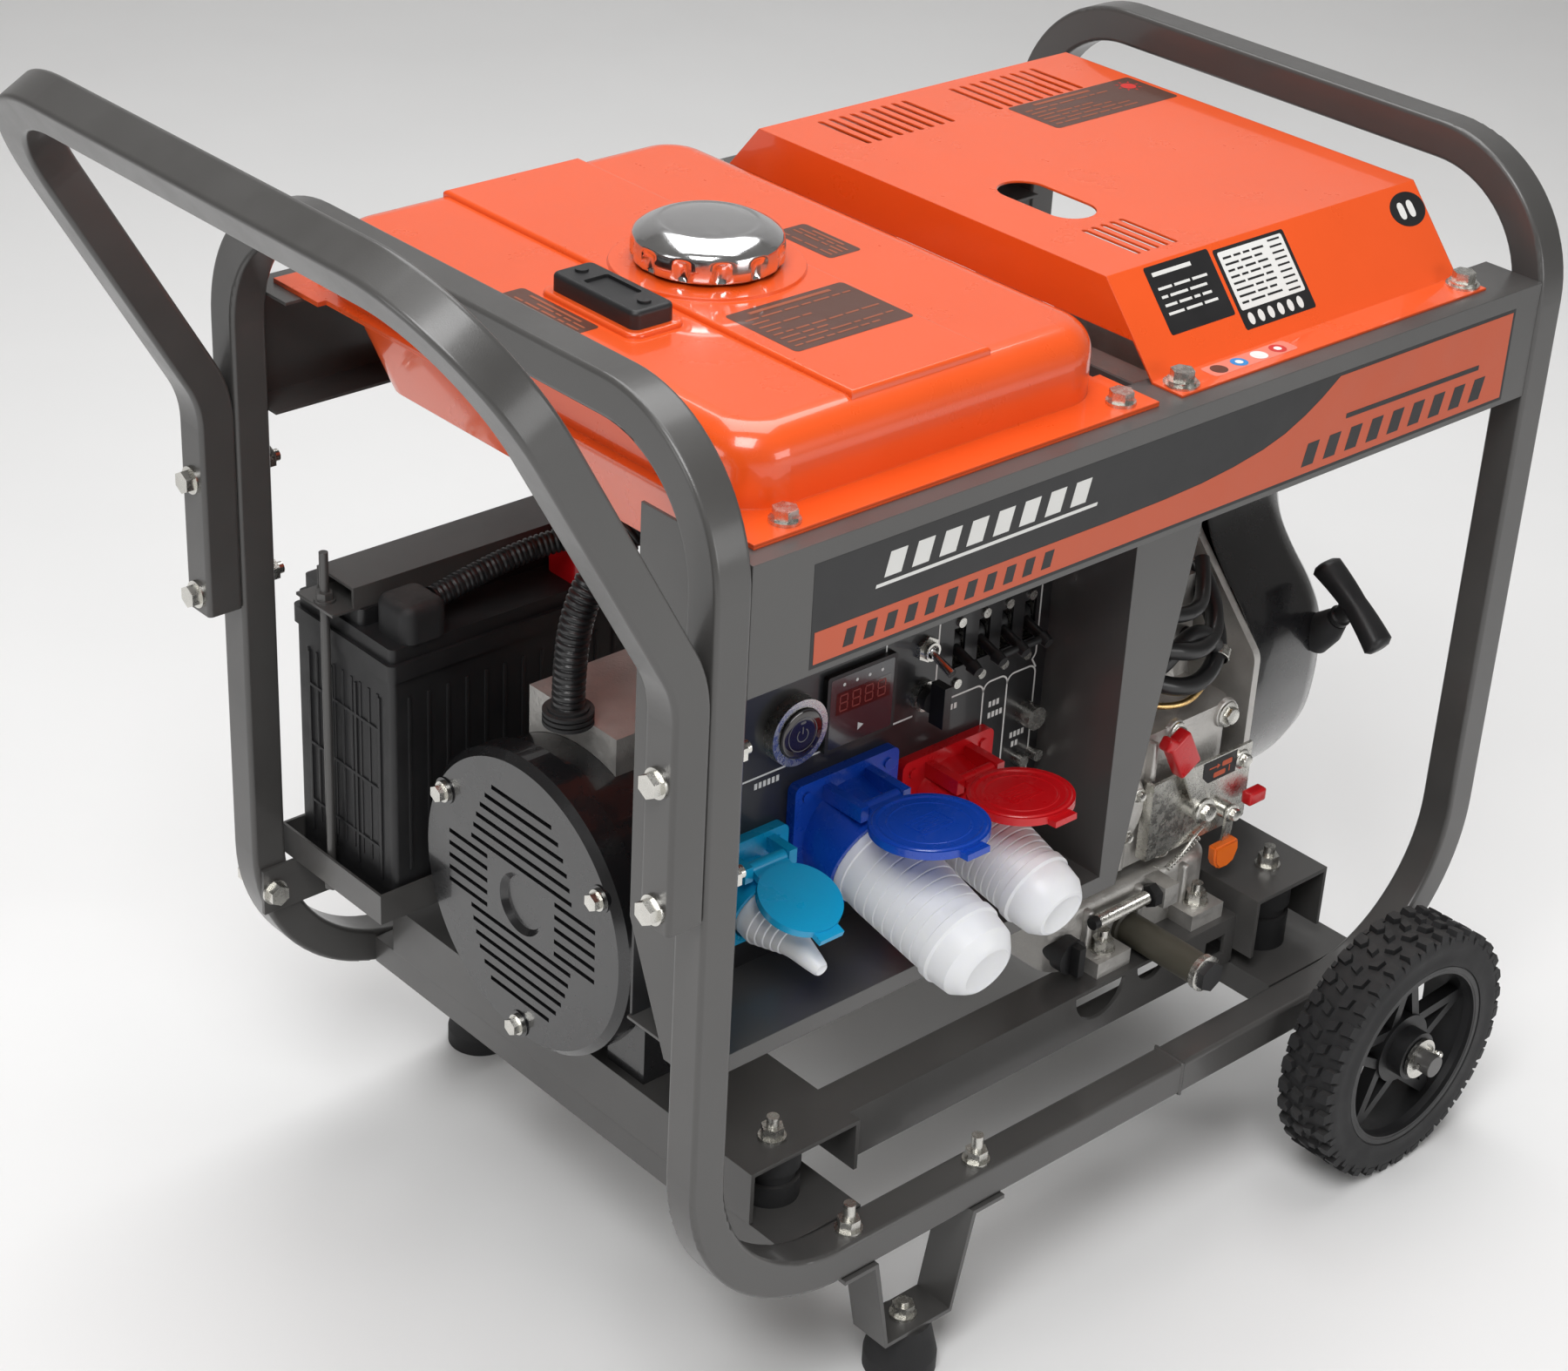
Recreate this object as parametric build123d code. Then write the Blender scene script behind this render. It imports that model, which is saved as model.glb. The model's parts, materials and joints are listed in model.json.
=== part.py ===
from build123d import *
import math
import os

# Open-frame generator. X runs toward the wheels, Y to the back, Z up; millimetres.
# Working coordinates: x from the outer face of the handle-side posts, y from the
# mid-plane, z from the ground. save() moves everything so that the origin is the
# bottom centre of the whole object.

# ---- driving dimensions ----
FRAME_L = 720.0        # outer length of the tube frame
FRAME_W = 475.0        # outer width of the tube frame
FRAME_TOP = 714.0      # top of the hoops above the ground
RAIL_Z = 112.0         # underside of the bottom rails
TUBE = 25.0            # square tube
TUBE_WALL = 2.0
TUBE_EDGE_R = 3.0
HOOP_R = 85.0          # centre-line bend at the top corners
FOOT_R = 115.0         # centre-line bend at the bottom corners
RAIL_SPLIT_X = 433.0   # weld between the two tube frames
BAND_H = 79.0          # height of the side bands
BAND_TOP = 634.0
BAND_SHEET = 2.0
BAND_LEDGE = 46.0      # width of the top flange of a band
HANDLE_REACH = 264.0   # sloped length of the handle
HANDLE_TILT = 30.0     # degrees from vertical
HANDLE_LOW = 426.0     # lower end of the handle legs
HANDLE_KNEE = 573.6    # height of the bend
HANDLE_CORNER_R = 82.0
HANDLE_KNEE_R = 70.0
BOLT_LOW = 438.5
BOLT_HIGH = 517.7
WHEEL_R = 96.0
WHEEL_W = 46.0
WHEEL_X = 615.0
WHEEL_GAP = 14.0       # wheel to frame
AXLE_R = 8.0
BORE_GAP = 0.08
TANK_X0 = 37.0
TANK_X1 = 347.0
TANK_TOP = 684.0
TANK_HALF_W = FRAME_W / 2 - 40.5
TANK_DROP = 52.0       # depth of the lower shell
SHEET = 1.5
COVER_X0 = 367.0
COVER_X1 = 654.0
COVER_TOP = 687.0
COVER_HALF_W = FRAME_W / 2 - 83.5   # half width of the flat top
LEDGE_Y = FRAME_W / 2 - 27.0        # bolt line on the bands
SKIRT_Y = FRAME_W / 2 - 15.0        # outer edge of tank and cover flanges
CRANK_Z = 290.0
ALT_R = 102.0
ALT_X = 58.0
CRADLE_Z = 178.0
CRADLE_H = 38.0
CRADLE_Y = 177.5
CRADLE_L0 = 92.0
CRADLE_L1 = 182.0
CRADLE_R0 = 548.0
CRADLE_R1 = 622.0
CRADLE_R_Z = 197.0
BATT_X0 = 42.0
BATT_L = 196.0
BATT_Y0 = FRAME_W / 2 - 124.5
BATT_W = 110.0
BATT_Z0 = 229.0
BATT_H = 205.0
BOX_FRONT_Y = 31.5 - FRAME_W / 2
PANEL_Y = BOX_FRONT_Y + 66.5
BOX_X0 = 30.0
BOX_X1 = 362.0
SHELF_Z = 297.0
PANEL_TOP = 572.0
PLUG_TILT = 15.0       # the angled sockets point this far down
GAP = 0.3              # clearance between curved faces of neighbouring bodies

HALF_W = FRAME_W / 2
CY = HALF_W - TUBE / 2                 # tube centre line
ZR = RAIL_Z + TUBE / 2
ZT = FRAME_TOP - TUBE / 2
SIN_T = math.sin(math.radians(HANDLE_TILT))
COS_T = math.cos(math.radians(HANDLE_TILT))
BAR_X = -TUBE / 2 - HANDLE_REACH * SIN_T
BAR_Z = HANDLE_KNEE + HANDLE_REACH * COS_T
X_MIN = BAR_X - (TUBE / 2 - TUBE_EDGE_R) * (SIN_T + COS_T) - TUBE_EDGE_R
X_SHIFT = -(X_MIN + FRAME_L) / 2

os.makedirs("parts", exist_ok=True)


def save(node, shape):
    """Move to the shared origin, name and write one node."""
    out = Location((X_SHIFT, 0, 0)) * shape
    out.label = node
    export_step(out, "parts/" + node + ".step")


def box(x0, x1, y0, y1, z0, z1):
    return Pos((x0 + x1) / 2, (y0 + y1) / 2, (z0 + z1) / 2) * Box(x1 - x0, y1 - y0, z1 - z0)


def rod(p, d, r, h, r2=None):
    """Cylinder or cone from p along d."""
    pl = Plane(origin=p, z_dir=d)
    if r2 is None:
        body = Cylinder(r, h, align=(Align.CENTER, Align.CENTER, Align.MIN))
    else:
        body = Cone(r, r2, h, align=(Align.CENTER, Align.CENTER, Align.MIN))
    return pl.location * body


def hexa(p, d, flats, h):
    """Hexagonal prism from p along d."""
    sk = Plane(origin=p, z_dir=d) * RegularPolygon(flats / 2, 6, major_radius=False)
    return extrude(sk, h, dir=d)


def ring(p, d, ro, ri, h):
    return rod(p, d, ro, h) - rod(p, d, ri, h)


def group(*shapes):
    solids = []
    for s in shapes:
        solids += s.solids()
    return Compound(children=solids)


def square_tube(points, radii):
    """Square hollow section swept along a bent centre line."""
    path = FilletPolyline(*points, radius=radii)
    pl = Plane(origin=path @ 0, z_dir=path % 0, x_dir=(0, 0, 1))
    outer = pl * RectangleRounded(TUBE, TUBE, TUBE_EDGE_R)
    inner = pl * RectangleRounded(TUBE - 2 * TUBE_WALL, TUBE - 2 * TUBE_WALL, TUBE_EDGE_R - 1.5)
    return sweep(outer - inner, path=path)


def rounded(x0, x1, y0, y1, z0, z1, r, top=0.0):
    """Block with rounded vertical corners and an optional top round."""
    b = box(x0, x1, y0, y1, z0, z1)
    b = fillet(b.edges().filter_by(Axis.Z), r)
    if top:
        b = fillet(b.faces().sort_by(Axis.Z)[-1].edges(), top)
    return b


# ---- frame ----
def frame_half(x_split, x_post):
    pts = [(x_split, -CY, ZR), (x_post, -CY, ZR), (x_post, -CY, ZT),
           (x_post, CY, ZT), (x_post, CY, ZR), (x_split, CY, ZR)]
    return square_tube(pts, [FOOT_R, HOOP_R, HOOP_R, FOOT_R])


BOLT_HOLE_R = 4.3


def mirror_y(shape):
    return mirror(shape, about=Plane.XZ)


def side_band():
    """C-section sheet between the posts, front side."""
    z0 = BAND_TOP - BAND_H
    yf = -HALF_W + 1.5
    web = box(TUBE, FRAME_L - TUBE, yf, yf + BAND_SHEET, z0, BAND_TOP)
    top = box(TUBE, FRAME_L - TUBE, yf, -HALF_W + BAND_LEDGE, BAND_TOP - BAND_SHEET, BAND_TOP)
    low = box(TUBE, FRAME_L - TUBE, yf, BOX_FRONT_Y, z0, z0 + BAND_SHEET)
    body = web + top + low
    for x in TOP_BOLTS_X:
        body -= rod((x, -LEDGE_Y, BAND_TOP - 5), (0, 0, 1), BOLT_HOLE_R, 10)
    return body


TOP_BOLTS_X = (69.0, 327.0, 379.0, 645.0)
PLATE_T = 3.0
PLATE_SKIRT = 20.0
PLATE_LEFT = (95.0, 162.0)
PLATE_RIGHT = (549.0, 640.0)
MOUNT_LEFT_X = 127.0
MOUNT_RIGHT_X = 590.0
MOUNT_Y = 166.0
MOUNT_R = 19.0
PLATE_Z = RAIL_Z + TUBE


def base_plate(x0, x1, mx):
    yi = HALF_W - TUBE
    p = box(x0, x1, -yi, yi, PLATE_Z - PLATE_T, PLATE_Z)
    for x in (x0, x1 - PLATE_T):
        p += box(x, x + PLATE_T, -yi, yi, PLATE_Z - PLATE_SKIRT, PLATE_Z)
    for s in (-1, 1):
        p -= rod((mx, s * MOUNT_Y, PLATE_Z - 5), (0, 0, 1), 4.3, 10)
        p -= box(mx - 20, mx + 20, s * 105 - 20, s * 105 + 20, PLATE_Z - 5, PLATE_Z + 1)
    return p


def cross_channel(x0, x1, top, low, half):
    """Downward-open channel across the cradle."""
    t = PLATE_T
    c = box(x0, x1, -half, half, top - t, top)
    c += box(x0, x0 + t, -half, half, low, top)
    c += box(x1 - t, x1, -half, half, low, top)
    return c


NOTCH_X = 411.0
NOTCH_R = 24.0
DRAIN_X = 461.0
DRAIN_Z = 190.5
DRAIN_R = 11.0
DRAIN_END = -222.0


def bearer():
    """Inward-open channel under the engine, front side."""
    t = PLATE_T
    z0 = CRADLE_Z - CRADLE_H
    x0, x1 = CRADLE_L1, CRADLE_R0
    b = box(x0, x1, -CRADLE_Y, -CRADLE_Y + t, z0, CRADLE_Z)
    b += box(x0, x1, -CRADLE_Y, -CRADLE_Y + 30, CRADLE_Z - t, CRADLE_Z)
    b += box(x0, x1, -CRADLE_Y, -CRADLE_Y + 24, z0, z0 + t)
    for x, r in ((NOTCH_X, NOTCH_R), (DRAIN_X, DRAIN_R + 3)):
        cut = rod((x, -CRADLE_Y - 5, CRADLE_Z - t), (0, 1, 0), r, 5 + t)
        b -= cut - box(x - r, x + r, -CRADLE_Y - 6, -CRADLE_Y + t + 1, CRADLE_Z - t, CRADLE_Z + r)
    b -= box(518, 538, -CRADLE_Y - 5, -CRADLE_Y + 5, 150, 166)
    return b


def engine_cradle():
    left = cross_channel(CRADLE_L0, CRADLE_L1, CRADLE_Z, CRADLE_Z - CRADLE_H, 187)
    right = cross_channel(CRADLE_R0, CRADLE_R1, CRADLE_R_Z, 150, 194)
    b = left + right + bearer() + mirror_y(bearer())
    for s in (-1, 1):
        b -= rod((MOUNT_LEFT_X, s * MOUNT_Y, CRADLE_Z - 6), (0, 0, 1), 4.3, 12)
        b -= rod((MOUNT_RIGHT_X, s * MOUNT_Y, CRADLE_R_Z - 6), (0, 0, 1), 4.3, 12)
        for x in FOOT_BOLTS_X:
            b -= rod((x, s * FOOT_BOLT_Y, CRADLE_Z - 6), (0, 0, 1), 4.3, 12)
    return b


FOOT_BOLTS_X = (428.0, 522.0)
FOOT_BOLT_Y = 160.0
FEET_X = 195.0
FOOT_STUDS_X = (140.0, 250.0)
FOOT_PLATE_Z = 40.0
FOOT_RUBBER_R = 24.0


def foot_bracket(side):
    """Bent strap hanging under a rail, holding a rubber foot."""
    t = 3.0
    y = side * CY
    pts = [(FOOT_STUDS_X[0] - 14, RAIL_Z), (FOOT_STUDS_X[0] + 14, RAIL_Z),
           (FEET_X - 27, FOOT_PLATE_Z), (FEET_X + 27, FOOT_PLATE_Z),
           (FOOT_STUDS_X[1] - 14, RAIL_Z), (FOOT_STUDS_X[1] + 14, RAIL_Z)]
    lower = [(FOOT_STUDS_X[0] - 14, RAIL_Z - t), (FOOT_STUDS_X[0] + 11, RAIL_Z - t),
             (FEET_X - 29, FOOT_PLATE_Z - t), (FEET_X + 29, FOOT_PLATE_Z - t),
             (FOOT_STUDS_X[1] - 11, RAIL_Z - t), (FOOT_STUDS_X[1] + 14, RAIL_Z - t)]
    face = Plane.XZ * make_face(Polyline(*(pts + lower[::-1]), close=True))
    b = Pos(0, y + 15, 0) * extrude(face, 30, dir=(0, -1, 0))
    for x in FOOT_STUDS_X:
        b -= rod((x, y, RAIL_Z - 8), (0, 0, 1), 4.3, 12)
    return b - rod((FEET_X, y, FOOT_PLATE_Z - 8), (0, 0, 1), 4.3, 12)


def rubber_parts():
    out = []
    for s in (-1, 1):
        f = rod((FEET_X, s * CY, 0), (0, 0, 1), FOOT_RUBBER_R, 12)
        f += rod((FEET_X, s * CY, 12), (0, 0, 1), FOOT_RUBBER_R, FOOT_PLATE_Z - 3 - 12,
                 FOOT_RUBBER_R - 6)
        f -= rod((FEET_X, s * CY, -1), (0, 0, 1), 9, 22)
        f -= rod((FEET_X, s * CY, 0), (0, 0, 1), 4.3, 60)
        out.append(f)
        for x, top in ((MOUNT_LEFT_X, CRADLE_Z), (MOUNT_RIGHT_X, CRADLE_R_Z)):
            h = top - PLATE_T - PLATE_Z
            m = rod((x, s * MOUNT_Y, PLATE_Z), (0, 0, 1), MOUNT_R, h)
            m -= ring((x, s * MOUNT_Y, PLATE_Z + h / 2 - 4), (0, 0, 1), MOUNT_R + 1,
                      MOUNT_R - 3, 8)
            m -= rod((x, s * MOUNT_Y, PLATE_Z - 1), (0, 0, 1), 4.3, h + 2)
            out.append(m)
    return group(*out)


def stud(x, y, z_low, z_seat, z_top, r=4.0):
    """Threaded rod with a flanged nut on the seat and a head below."""
    p = rod((x, y, z_low), (0, 0, 1), r, z_top - z_low)
    p += rod((x, y, z_seat), (0, 0, 1), 9.0, 2.0)
    p += hexa((x, y, z_seat + 2), (0, 0, 1), 13, 7)
    p += hexa((x, y, z_low - 5), (0, 0, 1), 13, 5)
    return p


def tapped_bolt(x, y, z_low):
    """Hexagon head bolt up into the lower wall of a rail."""
    return (rod((x, y, z_low), (0, 0, 1), 4.0, STRAP_T + TAP_DEPTH)
            + hexa((x, y, z_low - 5), (0, 0, 1), 13, 5))


def frame_studs():
    """Zinc studs and nuts on rails, mounts, engine feet and rubber feet."""
    out = []
    for s in (-1, 1):
        for x in FOOT_STUDS_X:
            out.append(stud(x, s * CY, RAIL_Z - 3, PLATE_Z, PLATE_Z + 20))
        out.append(stud(FEET_X, s * CY, 16, FOOT_PLATE_Z, FOOT_PLATE_Z + 12))
        out.append(stud(MOUNT_LEFT_X, s * MOUNT_Y, PLATE_Z - 3, CRADLE_Z, CRADLE_Z + 16))
        out.append(stud(MOUNT_RIGHT_X, s * MOUNT_Y, PLATE_Z - 3, CRADLE_R_Z, CRADLE_R_Z + 16))
        for x in FOOT_BOLTS_X:
            out.append(stud(x, s * FOOT_BOLT_Y, CRADLE_Z - 3, CRADLE_Z + 12, CRADLE_Z + 28))
        for x in AXLE_STUDS_X:
            out.append(tapped_bolt(x, s * CY, RAIL_Z - STRAP_T))
    return group(*out)


AXLE_STUDS_X = (WHEEL_X - 22, WHEEL_X + 22)
STRAP_T = 4.0          # thickness of the axle straps
TAP_DEPTH = 14.0       # bolt end above the underside of the rail


def rail_holes(x_list, depth):
    h = None
    for s in (-1, 1):
        for x in x_list:
            c = rod((x, s * CY, RAIL_Z - 2), (0, 0, 1), 4.3, depth)
            h = c if h is None else h + c
    return h


def post_holes():
    h = None
    for s in (-1, 1):
        for z in (BOLT_LOW, BOLT_HIGH):
            c = rod((-TUBE - 2, s * CY, z), (1, 0, 0), 4.3, 2 * TUBE + 4)
            h = c if h is None else h + c
    return h


def handle_bar():
    x = -TUBE / 2
    pts = [(x, -CY, HANDLE_LOW), (x, -CY, HANDLE_KNEE), (BAR_X, -CY, BAR_Z),
           (BAR_X, CY, BAR_Z), (x, CY, HANDLE_KNEE), (x, CY, HANDLE_LOW)]
    path = FilletPolyline(*pts, radius=[HANDLE_KNEE_R, HANDLE_CORNER_R,
                                        HANDLE_CORNER_R, HANDLE_KNEE_R])
    pl = Plane(origin=path @ 0, z_dir=path % 0, x_dir=(1, 0, 0))
    outer = pl * RectangleRounded(TUBE, TUBE, TUBE_EDGE_R)
    inner = pl * RectangleRounded(TUBE - 2 * TUBE_WALL, TUBE - 2 * TUBE_WALL, TUBE_EDGE_R - 1.5)
    bar = sweep(outer - inner, path=path)
    return bar - post_holes()


def flange_bolt(p, d, length):
    """M8 flanged hexagon bolt whose flange sits on p and whose shank runs along d."""
    n = tuple(-c for c in d)
    b = rod(p, n, 9.0, 2.0)
    b += hexa(tuple(a + 2 * c for a, c in zip(p, n)), n, 13, 6)
    return b + rod(p, d, 4.0, length)


EAR_BOLT_X = TOP_BOLTS_X[2]   # no room for a nut beside the control housing ear


def flange_bolts():
    out = []
    for s in (-1, 1):
        for z in (BOLT_LOW, BOLT_HIGH):
            b = flange_bolt((-TUBE, s * CY, z), (1, 0, 0), 2 * TUBE + 12)
            b += hexa((TUBE, s * CY, z), (1, 0, 0), 13, 7)
            out.append(b)
        for x in TOP_BOLTS_X:
            b = flange_bolt((x, s * LEDGE_Y, BAND_TOP + 3), (0, 0, -1), 16)
            if s > 0 or x != EAR_BOLT_X:
                b += hexa((x, s * LEDGE_Y, BAND_TOP - 9), (0, 0, 1), 13, 7)
            out.append(b)
    return group(*out)


# ---- wheels ----
WHEEL_Y0 = HALF_W + WHEEL_GAP
WHEEL_Y1 = WHEEL_Y0 + WHEEL_W
RIM_R = 70.0
HUB_R = 15.0


def axle_stubs():
    out = []
    for s in (-1, 1):
        y = s * CY
        strap = box(WHEEL_X - 34, WHEEL_X + 34, min(y - 12, y + 12), max(y - 12, y + 12),
                    RAIL_Z - 4, RAIL_Z)
        for x in AXLE_STUDS_X:
            strap -= rod((x, y, RAIL_Z - 8), (0, 0, 1), 4.3, 12)
        lug = box(WHEEL_X - 12, WHEEL_X + 12, y - 12, y + 12, WHEEL_R - 12, RAIL_Z - 4)
        ax = rod((WHEEL_X, y, WHEEL_R), (0, s, 0), AXLE_R, WHEEL_Y1 + 16 - CY)
        collar = rod((WHEEL_X, y, WHEEL_R), (0, s, 0), 12, WHEEL_Y0 - 0.5 - CY)
        hole = rod((WHEEL_X - 12, s * (WHEEL_Y1 + 8), WHEEL_R), (1, 0, 0), 1.7, 24)
        out.append((strap + lug + ax + collar) - hole)
    return group(*out)


def wheel_pins():
    """Washer and split pin on each axle end."""
    out = []
    for s in (-1, 1):
        y = s * (WHEEL_Y1 + 1.5)
        out.append(ring((WHEEL_X, y, WHEEL_R), (0, s, 0), 15, AXLE_R + 0.1, 2.5))
        yp = s * (WHEEL_Y1 + 8)
        pin = rod((WHEEL_X - 12, yp, WHEEL_R), (1, 0, 0), 1.5, 24)
        pin += rod((WHEEL_X - 12, yp, WHEEL_R), (-0.9, s * 0.2, 0.4), 1.5, 8)
        pin += Pos(WHEEL_X + 14, yp, WHEEL_R) * Sphere(3.2)
        out.append(pin)
    return group(*out)


def tyre(s):
    """Solid rubber tread ring with cross lugs."""
    y0 = s * WHEEL_Y0
    d = (0, s, 0)
    t = ring((WHEEL_X, y0, WHEEL_R), d, WHEEL_R - 4, RIM_R, WHEEL_W)
    t = fillet(t.edges().filter_by(GeomType.CIRCLE).group_by(SortBy.RADIUS)[-1], 4)
    lug = None
    for k in range(30):
        a = math.radians(12 * k)
        p = (WHEEL_X + (WHEEL_R - 4) * math.cos(a), 0, WHEEL_R + (WHEEL_R - 4) * math.sin(a))
        yy = s * (WHEEL_Y0 + (12 if k % 2 else WHEEL_W - 12))
        b = Box(8, 18, 9)
        b = Pos(p[0], yy, p[2]) * Rot(0, 90 - math.degrees(a), 0) * b
        lug = b if lug is None else lug + b
    keep = ring((WHEEL_X, y0, WHEEL_R), d, WHEEL_R, WHEEL_R - 8, WHEEL_W)
    return t + (lug & keep)


def wheel_hub(s):
    """Plastic rim with five double spokes and a bored hub."""
    y0 = s * WHEEL_Y0
    d = (0, s, 0)
    c = (WHEEL_X, y0, WHEEL_R)
    rim = ring((WHEEL_X, s * (WHEEL_Y0 + 1), WHEEL_R), d, RIM_R, RIM_R - 6, WHEEL_W - 2)
    hub = rod(c, d, HUB_R + 3, WHEEL_W)
    web = rod((WHEEL_X, s * (WHEEL_Y0 + 20), WHEEL_R), d, 26, 14)
    spokes = None
    for k in range(5):
        for off in (-9, 9):
            b = Box(50, 10, 7)
            b = Pos(41, 0, off * 0.75) * Rot(0, off * 1.6, 0) * b
            b = Pos(WHEEL_X, s * (WHEEL_Y0 + 27), WHEEL_R) * Rot(0, 72 * k + 54, 0) * b
            spokes = b if spokes is None else spokes + b
    inner = ring((WHEEL_X, s * (WHEEL_Y0 + 21), WHEEL_R), d, RIM_R - 3, 15, 12)
    w = rim + hub + web + (spokes & inner)
    return w - rod((WHEEL_X, y0 - s, WHEEL_R), d, AXLE_R + BORE_GAP, WHEEL_W + 2)


# ---- tank and cover ----
CAP_X = (TANK_X0 + TANK_X1) / 2
CAP_R = 46.0
CAP_H = 25.0
NECK_R = 30.0
TANK_BX0 = TANK_X0 + 13
TANK_BX1 = TANK_X1 - 13
SEAM = BAND_TOP + SHEET                # parting plane of the two shells
RIB_X0 = 137.0
RIB_X1 = 242.0


def tank_flange(z0, z1):
    """Outline with four ears reaching the bolts."""
    f = rounded(TANK_X0 + 6, TANK_X1 - 6, -TANK_HALF_W - 8, TANK_HALF_W + 8, z0, z1, 24)
    for s in (-1, 1):
        y0, y1 = sorted((s * (TANK_HALF_W - 22), s * SKIRT_Y))
        f += box(TANK_X0, TANK_X1, y0, y1, z0, z1)
    for s in (-1, 1):
        for x in TOP_BOLTS_X[:2]:
            f -= rod((x, s * LEDGE_Y, z0 - 1), (0, 0, 1), 4.3, 6)
    return f


def tank_upper():
    b = rounded(TANK_BX0, TANK_BX1, -TANK_HALF_W, TANK_HALF_W, SEAM, TANK_TOP - 3, 34, 20)
    mid = box(RIB_X0, RIB_X1, -TANK_HALF_W + 12, TANK_HALF_W - 12, TANK_TOP - 12, TANK_TOP)
    mid = fillet(mid.faces().sort_by(Axis.Z)[-1].edges(), 2.5)
    b += mid
    b += rod((CAP_X, 0, TANK_TOP - 8), (0, 0, 1), 62, 10, 58)
    gx0, gx1, gy0, gy1 = GAUGE_BOX
    b += rounded(gx0 - 5, gx1 + 5, gy0 - 5, gy1 + 5, TANK_TOP - 12, TANK_TOP, 8, 2)
    cav = rounded(TANK_BX0 + SHEET, TANK_BX1 - SHEET, -TANK_HALF_W + SHEET,
                  TANK_HALF_W - SHEET, SEAM - 1, TANK_TOP - 3 - SHEET, 32, 18)
    b -= cav
    b -= rod((CAP_X, 0, TANK_TOP - 20), (0, 0, 1), NECK_R - 2, 40)
    b += ring((CAP_X, 0, TANK_TOP + 1.5), (0, 0, 1), NECK_R, NECK_R - 2, 12)
    return b + (tank_flange(SEAM, SEAM + SHEET) - cav)


def tank_lower():
    x0, x1, w = TANK_BX0 + 2, TANK_BX1 - 2, TANK_HALF_W - 14
    top = Pos((x0 + x1) / 2, 0, BAND_TOP) * RectangleRounded(x1 - x0, 2 * w, 34)
    low = (Pos((x0 + x1) / 2, 0, BAND_TOP - TANK_DROP)
           * RectangleRounded(x1 - x0 - 36, 2 * w - 40, 26))
    b = loft([top, low])
    x0, x1, w = x0 + SHEET, x1 - SHEET, w - SHEET
    ctop = Pos((x0 + x1) / 2, 0, SEAM + 1) * RectangleRounded(x1 - x0, 2 * w, 32.5)
    clow = (Pos((x0 + x1) / 2, 0, BAND_TOP - TANK_DROP + SHEET)
            * RectangleRounded(x1 - x0 - 36, 2 * w - 40, 24.5))
    cav = loft([ctop, clow])
    return (b + tank_flange(BAND_TOP, SEAM)) - cav


GAUGE_BOX = (93.0, 123.0, -54.0, 22.0)


def fuel_gauge():
    x0, x1, y0, y1 = GAUGE_BOX
    g = rounded(x0, x1, y0, y1, TANK_TOP, TANK_TOP + 11, 5, 3)
    g -= rounded(x0 + 6, x1 - 6, y0 + 22, y1 - 22, TANK_TOP + 9, TANK_TOP + 12, 2)
    for y in (y0 + 10, y1 - 10):
        g += rod(((x0 + x1) / 2, y, TANK_TOP + 11), (0, 0, 1), 4, 1.6)
    return g


def fuel_cap():
    """Scalloped chrome filler cap over the neck."""
    z0 = TANK_TOP + 4
    c = rod((CAP_X, 0, z0), (0, 0, 1), CAP_R - 3, 5, CAP_R)
    c += rod((CAP_X, 0, z0 + 5), (0, 0, 1), CAP_R, 9)
    c += rod((CAP_X, 0, z0 + 14), (0, 0, 1), CAP_R, CAP_H - 14, CAP_R - 12)
    for k in range(12):
        a = math.radians(30 * k)
        p = (CAP_X + (CAP_R + 7) * math.cos(a), (CAP_R + 7) * math.sin(a), z0 - 1)
        c -= rod(p, (0, 0, 1), 10, 14)
    return c - rod((CAP_X, 0, z0 - 1), (0, 0, 1), NECK_R + GAP, CAP_H - 7)


def slot(x, y0, y1, z, w=4.0):
    s = box(x - w / 2, x + w / 2, y0, y1, z - 10, z + 10)
    return fillet(s.edges().filter_by(Axis.Z), w / 2 - 0.01)


SLOTS_BACK = (93.0, 143.0)
SLOTS_FRONT = (-141.0, -94.0)


def top_cover():
    """Folded sheet cover with slots and the oval opening."""
    t = SHEET
    z0 = BAND_TOP
    prof = [(-SKIRT_Y, z0), (-SKIRT_Y + 24, z0), (-COVER_HALF_W, COVER_TOP - t),
            (COVER_HALF_W, COVER_TOP - t), (SKIRT_Y - 24, z0), (SKIRT_Y, z0)]
    up = [(-SKIRT_Y, z0 + t), (-SKIRT_Y + 23.4, z0 + t), (-COVER_HALF_W - 0.6, COVER_TOP),
          (COVER_HALF_W + 0.6, COVER_TOP), (SKIRT_Y - 23.4, z0 + t), (SKIRT_Y, z0 + t)]
    face = Plane.YZ * make_face(Polyline(*(prof + up[::-1]), close=True))
    c = Pos(COVER_X0, 0, 0) * extrude(face, COVER_X1 - COVER_X0, dir=(1, 0, 0))
    side = [(-COVER_HALF_W - 0.6, COVER_TOP), (COVER_HALF_W + 0.6, COVER_TOP),
            (COVER_HALF_W + 27, COVER_TOP - 32), (-COVER_HALF_W - 27, COVER_TOP - 32)]
    wall = Plane.YZ * make_face(Polyline(*side, close=True))
    for x in (COVER_X0, COVER_X1 - t):
        c += Pos(x, 0, 0) * extrude(wall, t, dir=(1, 0, 0))
    for k in range(9):
        c -= slot(408.8 + 9.4 * k, SLOTS_BACK[0], SLOTS_BACK[1], COVER_TOP)
        c -= slot(528.6 + 9.7 * k, SLOTS_BACK[0], SLOTS_BACK[1], COVER_TOP)
    for k in range(5):
        c -= slot(410.8 + 8.2 * k, SLOTS_FRONT[0], SLOTS_FRONT[1], COVER_TOP)
    c -= slot(430, -81, -8, COVER_TOP, 34)
    for s in (-1, 1):
        for x in TOP_BOLTS_X[2:]:
            c -= rod((x, s * LEDGE_Y, z0 - 1), (0, 0, 1), 4.3, 6)
    return c


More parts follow.
